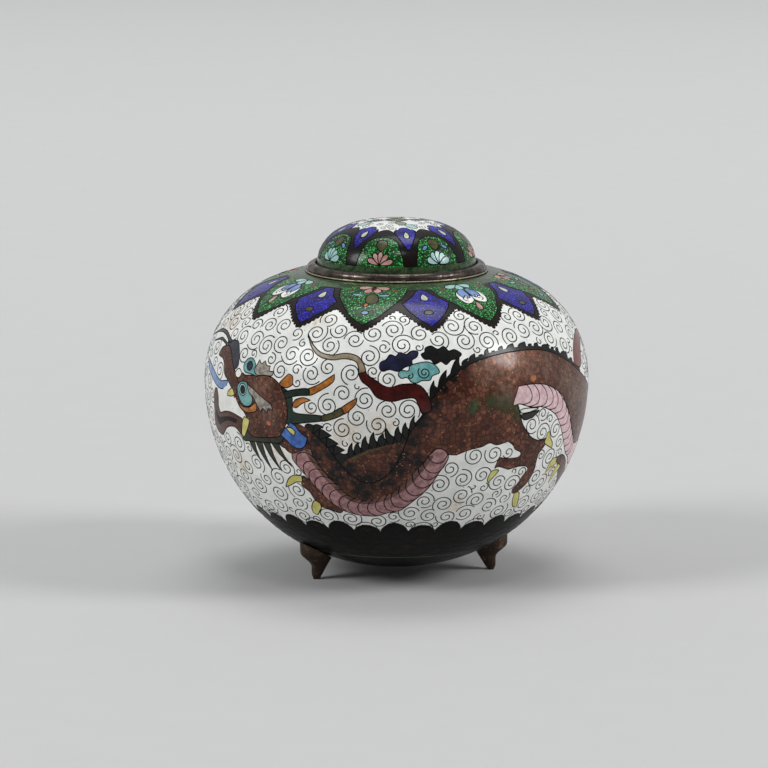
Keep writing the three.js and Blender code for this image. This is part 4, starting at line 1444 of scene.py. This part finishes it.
def texture_inside(piece, radius):
    """Lays the lid's inside flat in the corner of the texture that the picture leaves."""
    mesh, layer = only_texture_layer(piece)
    for loop in mesh.loops:
        point = mesh.vertices[loop.vertex_index].co / MM
        layer.data[loop.index].uv = (0.85 + 0.13 * point.x / radius / 1.1,
            0.85 + 0.13 * point.y / radius / 1.1)


def arc(r, z, across, up, angles):
    """Points of an arc round a middle, as (radius, height)."""
    return [(r + across * math.cos(math.radians(a)), z + up * math.sin(math.radians(a))) for a in angles]


def make_mouth_ring():
    """The turned metal ring: a beaded foot, a rounded moulding and the ledge for the lid."""
    outer = ring_high.x
    base, top, foot = RING_BASE, ring_high.z, ring_low.z
    bead = arc(outer - BEAD, base + BEAD, BEAD, BEAD, [-90 + 200 * k / 9 for k in range(10)])
    moulding = [(28.95, base + 0.62), (28.82, base + 0.8)]
    moulding += arc(27.0, top - 1.72, 2.0, 1.72, range(-4, 100, 8))
    lip = [(26.5, top - 0.1), (26.34, top - 0.32)]
    ledge = [(26.3, 100.28), (24.5, 100.26), (24.2, 100.28), (23.1, 100.2), (23.0, 100.05),
        (23.0, foot + 0.12), (23.12, foot), (24.38, foot), (24.5, foot + 0.12), (24.5, base + 0.04),
        (24.56, base)]
    profile = bead + moulding + lip + ledge + bead[:1]
    ring = turned("mouth_ring_moulding", profile, 224, RING_METAL)
    ring.data.materials.append(BEAD_METAL)
    for face in ring.data.polygons:
        out = math.hypot(face.center.x, face.center.y) / MM
        high = face.center.z / MM
        if out > outer - 0.5 and high > base - 0.01 and high < base + 0.56:
            face.material_index = 1
    texture_round(ring, 0.0, 1.0)
    bpy.ops.object.shade_smooth_by_angle(angle=math.radians(40))
    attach(ring, "root")
    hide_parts("mouth_ring")


def eased(value, low, high):
    """0 below low, 1 above high and a soft rise between them."""
    share = min(max((value - low) / (high - low), 0), 1)
    return share * share * (3 - 2 * share)


def foot_section(height):
    """Middle, half depth and half width of the foot at a height, in mm out from its toe's axis."""
    ankle = eased(height, 0, 1.6)
    knee = eased(height, 4.2, 9.0)
    front = TOE + (ANKLE - TOE) * ankle + (KNEE - ANKLE) * knee
    back = -TOE - BACK_SLOPE * height
    half = (front - back) / 2
    return (front + back) / 2, half, half * FOOT_SIDE


def make_feet():
    """One cast foot, cut to the belly and copied to its three places."""
    deselect()
    middle, half, side = foot_section(0)
    bpy.ops.mesh.primitive_circle_add(vertices=40, radius=MM, fill_type="NGON", location=(0, 0, 0))
    foot = bpy.context.object
    foot.name = foot.data.name = "foot_cast"
    bpy.ops.object.mode_set(mode="EDIT")
    bpy.ops.transform.resize(value=(side, half, 1), center_override=(0, 0, 0))
    bpy.ops.transform.translate(value=(0, -(FOOT_CIRCLE + middle) * MM, 0))
    heights = [0.0, 0.12, 0.35, 0.7, 1.1, 1.6, 2.4, 3.3, 4.2, 5.0, 5.8, 6.6, 7.4, 8.2, 9.0, 10.0, 11.5,
        13.5]
    for low, high in zip(heights, heights[1:]):
        now, half_now, side_now = foot_section(low)
        then, half_then, side_then = foot_section(high)
        bpy.ops.mesh.extrude_region_move(TRANSFORM_OT_translate={"value": (0, 0, (high - low) * MM)})
        bpy.ops.transform.resize(value=(side_then / side_now, half_then / half_now, 1),
            center_override=(0, -(FOOT_CIRCLE + now) * MM, high * MM))
        bpy.ops.transform.translate(value=(0, -(then - now) * MM, 0))
    bpy.ops.mesh.select_all(action="SELECT")
    bpy.ops.mesh.normals_make_consistent(inside=False)
    bpy.ops.object.mode_set(mode="OBJECT")
    belly = [(0.0, BODY_FOOT - FOOT_SINK)]
    for k in range(1, 40):
        r, z, _, _ = BODY.outline.at(BODY.outline.s[0] + (-20 - BODY.outline.s[0]) * k / 39, FOOT_SINK)
        belly.append((float(r), float(z)))
    belly += [(belly[-1][0], 50.0), (0.0, 50.0)]
    cutter = turned("belly_cutter", belly, 128, FOOT_METAL)
    cutter.data.materials.clear()
    deselect()
    foot.select_set(True)
    bpy.context.view_layer.objects.active = foot
    cut = foot.modifiers.new("belly", "BOOLEAN")
    cut.operation, cut.object, cut.solver = "DIFFERENCE", cutter, "EXACT"
    bpy.ops.object.modifier_apply(modifier=cut.name)
    bpy.data.objects.remove(cutter)
    foot.data.materials.clear()
    foot.data.materials.append(FOOT_METAL)
    bpy.ops.object.shade_smooth_by_angle(angle=math.radians(35))
    for name, azimuth in FOOT_PLACES.items():
        copy = foot.copy()
        copy.data = foot.data.copy()
        copy.name = copy.data.name = "cast_foot_" + name
        bpy.context.collection.objects.link(copy)
        copy.rotation_euler.z = math.radians(azimuth)
        deselect()
        copy.select_set(True)
        bpy.context.view_layer.objects.active = copy
        bpy.ops.object.transform_apply(rotation=True)
        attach(copy, "root")
        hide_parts("foot_" + name)
    bpy.data.objects.remove(foot)


# Floor, light and camera

LAMP_AIM = (0, 0, 0.06)
# Name, place and size in metres, and watts
LAMPS = [
    ("left_softbox", (-3.0, -1.35, 2.25), (1.5, 1.7), 68.0),
    ("right_softbox", (3.15, -0.75, 2.1), (1.2, 1.7), 68.0),
    ("front_softbox", (0.3, -2.25, 4.05), (1.1, 0.8), 15.0),
    ("overhead_panel", (0.1, 1.0, 4.2), (2.2, 2.2), 46.0),
]


def make_setting():
    deselect()
    bpy.ops.mesh.primitive_grid_add(x_subdivisions=2, y_subdivisions=2, size=16.0, location=(0, 0, 0))
    floor = bpy.context.object
    floor.name = "floor"
    material, tree, shader = new_material("grey paper")
    where = object_place(tree)
    fibre = noise(tree, where, 60.0, 3.0)
    # Painted light: the paper is paler towards the back, making up for the lamps' light falling off over
    # the far floor.
    depth = node(tree, "SeparateXYZ", {"Vector": where}).outputs["Y"]
    colour = blended(tree, between(tree, depth, -0.5, 2.2), paint(193, 193, 193), paint(222, 222, 222))
    colour = blended(tree, times(tree, fibre, 0.05), colour, paint(120, 120, 120))
    tree.links.new(colour, shader.inputs["Base Color"])
    shader.inputs["Roughness"].default_value = 0.9
    floor.data.materials.append(material)
    for name, place, size, power in LAMPS:
        lamp = bpy.data.lights.new(name, "AREA")
        lamp.shape = "ELLIPSE"
        lamp.size, lamp.size_y = size
        lamp.energy = power
        holder = bpy.data.objects.new(name, lamp)
        holder.location = place
        holder.rotation_euler = (Vector(LAMP_AIM) - Vector(place)).to_track_quat("-Z", "Y").to_euler()
        bpy.context.collection.objects.link(holder)
    world = bpy.context.scene.world or bpy.data.worlds.new("studio")
    bpy.context.scene.world = world
    world.use_nodes = True
    sky = world.node_tree
    lit = sky.nodes["Background"].inputs
    lit["Color"].default_value = (0.94, 0.95, 0.96, 1.0)
    way = node(sky, "SeparateXYZ", {"Vector": node(sky, "TexCoord").outputs["Generated"]}).outputs["Y"]
    sky.links.new(between(sky, way, -0.9, 0.7, 0.14, 0.56), lit["Strength"])
    lens = bpy.data.cameras.new("camera")
    lens.lens = 201.6
    lens.sensor_width = 36.0
    lens.shift_x = -0.0163
    lens.shift_y = 0.0049
    lens.clip_start, lens.clip_end = 0.05, 20.0
    camera = bpy.data.objects.new("camera", lens)
    camera.location = (0.0, -1.3812, 0.3035)
    camera.rotation_euler = (math.radians(80.0), 0.0, 0.0)
    bpy.context.collection.objects.link(camera)
    bpy.context.scene.camera = camera
    bpy.context.scene.view_settings.view_transform = "Standard"


PLAIN_FINISHES += [ENAMELS["counter"], BARE_COPPER]
make_body()
make_lid()
make_mouth_ring()
make_feet()
make_setting()
